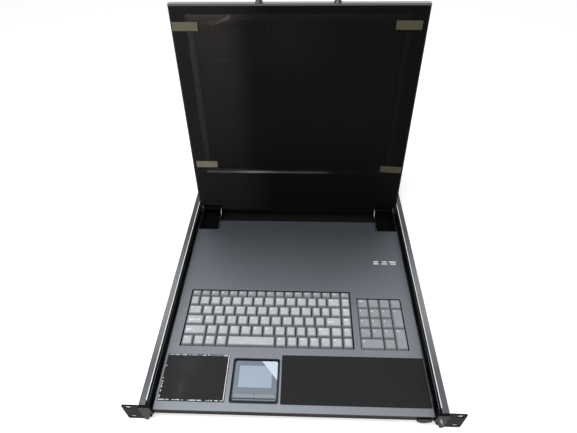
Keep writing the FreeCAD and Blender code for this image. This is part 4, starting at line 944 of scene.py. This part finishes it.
def makeScreenFilm(values):
    (x0, x1), (s0, s1), (w0, _) = lidRange("protective_film")
    left, bow, corner = values["left"], values["bow"], values["cornerLine"]
    lowEdge, highEdge = values["lowEdge"], values["highEdge"]
    (a1, b1), (a2, b2), (a3, b3) = values["ripples"]
    share, shift = values["slow"]
    lift, swing = values["level"]

    def pointAt(u, v):
        # two crossed ripples and a slower one, calm towards the edges
        calm = min(1.0, min(u, 1 - u, v, 1 - v) * values["calmEdge"])
        wave = math.sin(a1 * u + b1 * v) * math.sin(a2 * u + b2 * v) + share * math.sin(a3 * u + b3 * v + shift)
        return lidPoint(x0 + (x1 - x0) * u, s0 + (s1 - s0) * v, w0 - values["wave"] * (lift + swing * calm * wave))

    def hazeAndGlintAt(u, v):
        x, s = (x0 + (x1 - x0) * u) / mm, (s0 + (s1 - s0) * v) / mm
        # painted reflection: milkier towards the left, more so higher up
        rising = max(0.0, min(1.0, (s - left["from"]) / left["over"]))
        amount = values["base"] + (left["low"] + left["more"] * rising) / (1 + math.exp((x - left["x"]) / left["soft"]))
        amount += smudgeHaze(x, s, values["smudges"])
        # painted highlights: a bright arc, a line near the top left corner, and bright bands along the low and high
        # edges
        reach = (x - bow["x"]) / bow["half"]
        if abs(reach) < 1:
            level = bow["level"] - bow["sag"] * (1 - reach * reach)
            amount += (bow["low"] + bow["more"] * reach) * peak(s - level, bow["soft"])
        if x < corner["until"]:
            amount += corner["strength"] * peak(s - corner["level"], corner["soft"])
        if s < s0 / mm + lowEdge["wide"] and x < lowEdge["until"]:
            amount += lowEdge["low"] + lowEdge["more"] * peak(x - lowEdge["x"], lowEdge["soft"])
        if s > s1 / mm - highEdge["wide"]:
            amount += highEdge["strength"]
        return amount

    film = gridSheet("screenFilm", values["cells"], pointAt, hazeAndGlintAt, finishes["filmClear"], "lid")
    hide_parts("protective_film")


makeScreenFilm(filmValues)
print("screen film made")


# ---- thin film left on the left palm pad, its edges curling up, with painted highlights along its edges
palmValues = {
    "cells": (120, 90), "seed": 11, "dots": 200, "ripples": ((40, 7), (-5, 31)),
    "lift": 0.06 * mm, "curl": 0.5 * mm, "curlReach": 3 * mm,
    "edge": 0.9, "base": 0.004,  # the edge and the haze's places are in millimetres from the near left corner
    "smudges": [(30, 14, 4, 12, 0.018), (33, 58, 22, 12, 0.012), (30, 30, 22, 26, 0.006)],
    "right": 0.85,  # painted highlights: one unbroken bright edge; the others are broken into dots of this step, threshold and strength
    "bottom": {"step": 1.6, "over": 0.45, "strength": 0.9},
    "left": {"step": 1.8, "over": 0.5, "overBehind": 0.92, "behind": 34, "strength": 0.9},
    "top": {"step": 1.9, "over": 0.72, "strength": 0.5, "low": 0.22},
}


def makePalmFilm(values):
    low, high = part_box("palm_film")
    chance = random.Random(values["seed"])
    size = high - low
    dots = {side: [chance.random() for _ in range(values["dots"])] for side in ("bottom", "left", "top")}
    bottom, left, top = values["bottom"], values["left"], values["top"]
    (a1, b1), (a2, b2) = values["ripples"]

    def pointAt(u, v):
        edge = min(u * size.x, (1 - u) * size.x, v * size.y, (1 - v) * size.y)
        curl = max(0.0, 1 - edge / values["curlReach"])
        wave = (1 + math.sin(a1 * u + b1 * v) * math.sin(a2 * u + b2 * v)) / 2
        rise = values["lift"] + values["curl"] * curl * curl * wave
        return Vector((low.x + size.x * u, low.y + size.y * v, low.z + rise))

    def hazeAndGlintAt(u, v):
        x, y = size.x * u / mm, size.y * v / mm
        amount = values["base"] + smudgeHaze(x, y, values["smudges"])
        # painted highlights along the edges
        if x > size.x / mm - values["edge"]:
            amount += values["right"]
        if y < values["edge"]:
            amount += bottom["strength"] * (dots["bottom"][int(x / bottom["step"])] > bottom["over"])
        if x < values["edge"]:
            over = left["over"] if y < left["behind"] else left["overBehind"]
            amount += left["strength"] * (dots["left"][int(y / left["step"])] > over)
        if y > size.y / mm - values["edge"]:
            amount += top["low"] + top["strength"] * (dots["top"][int(x / top["step"])] > top["over"])
        return amount

    film = gridSheet("palmFilmSheet", values["cells"], pointAt, hazeAndGlintAt, finishes["palmFilm"], "drawer")
    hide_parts("palm_film")


makePalmFilm(palmValues)
print("palm film made")
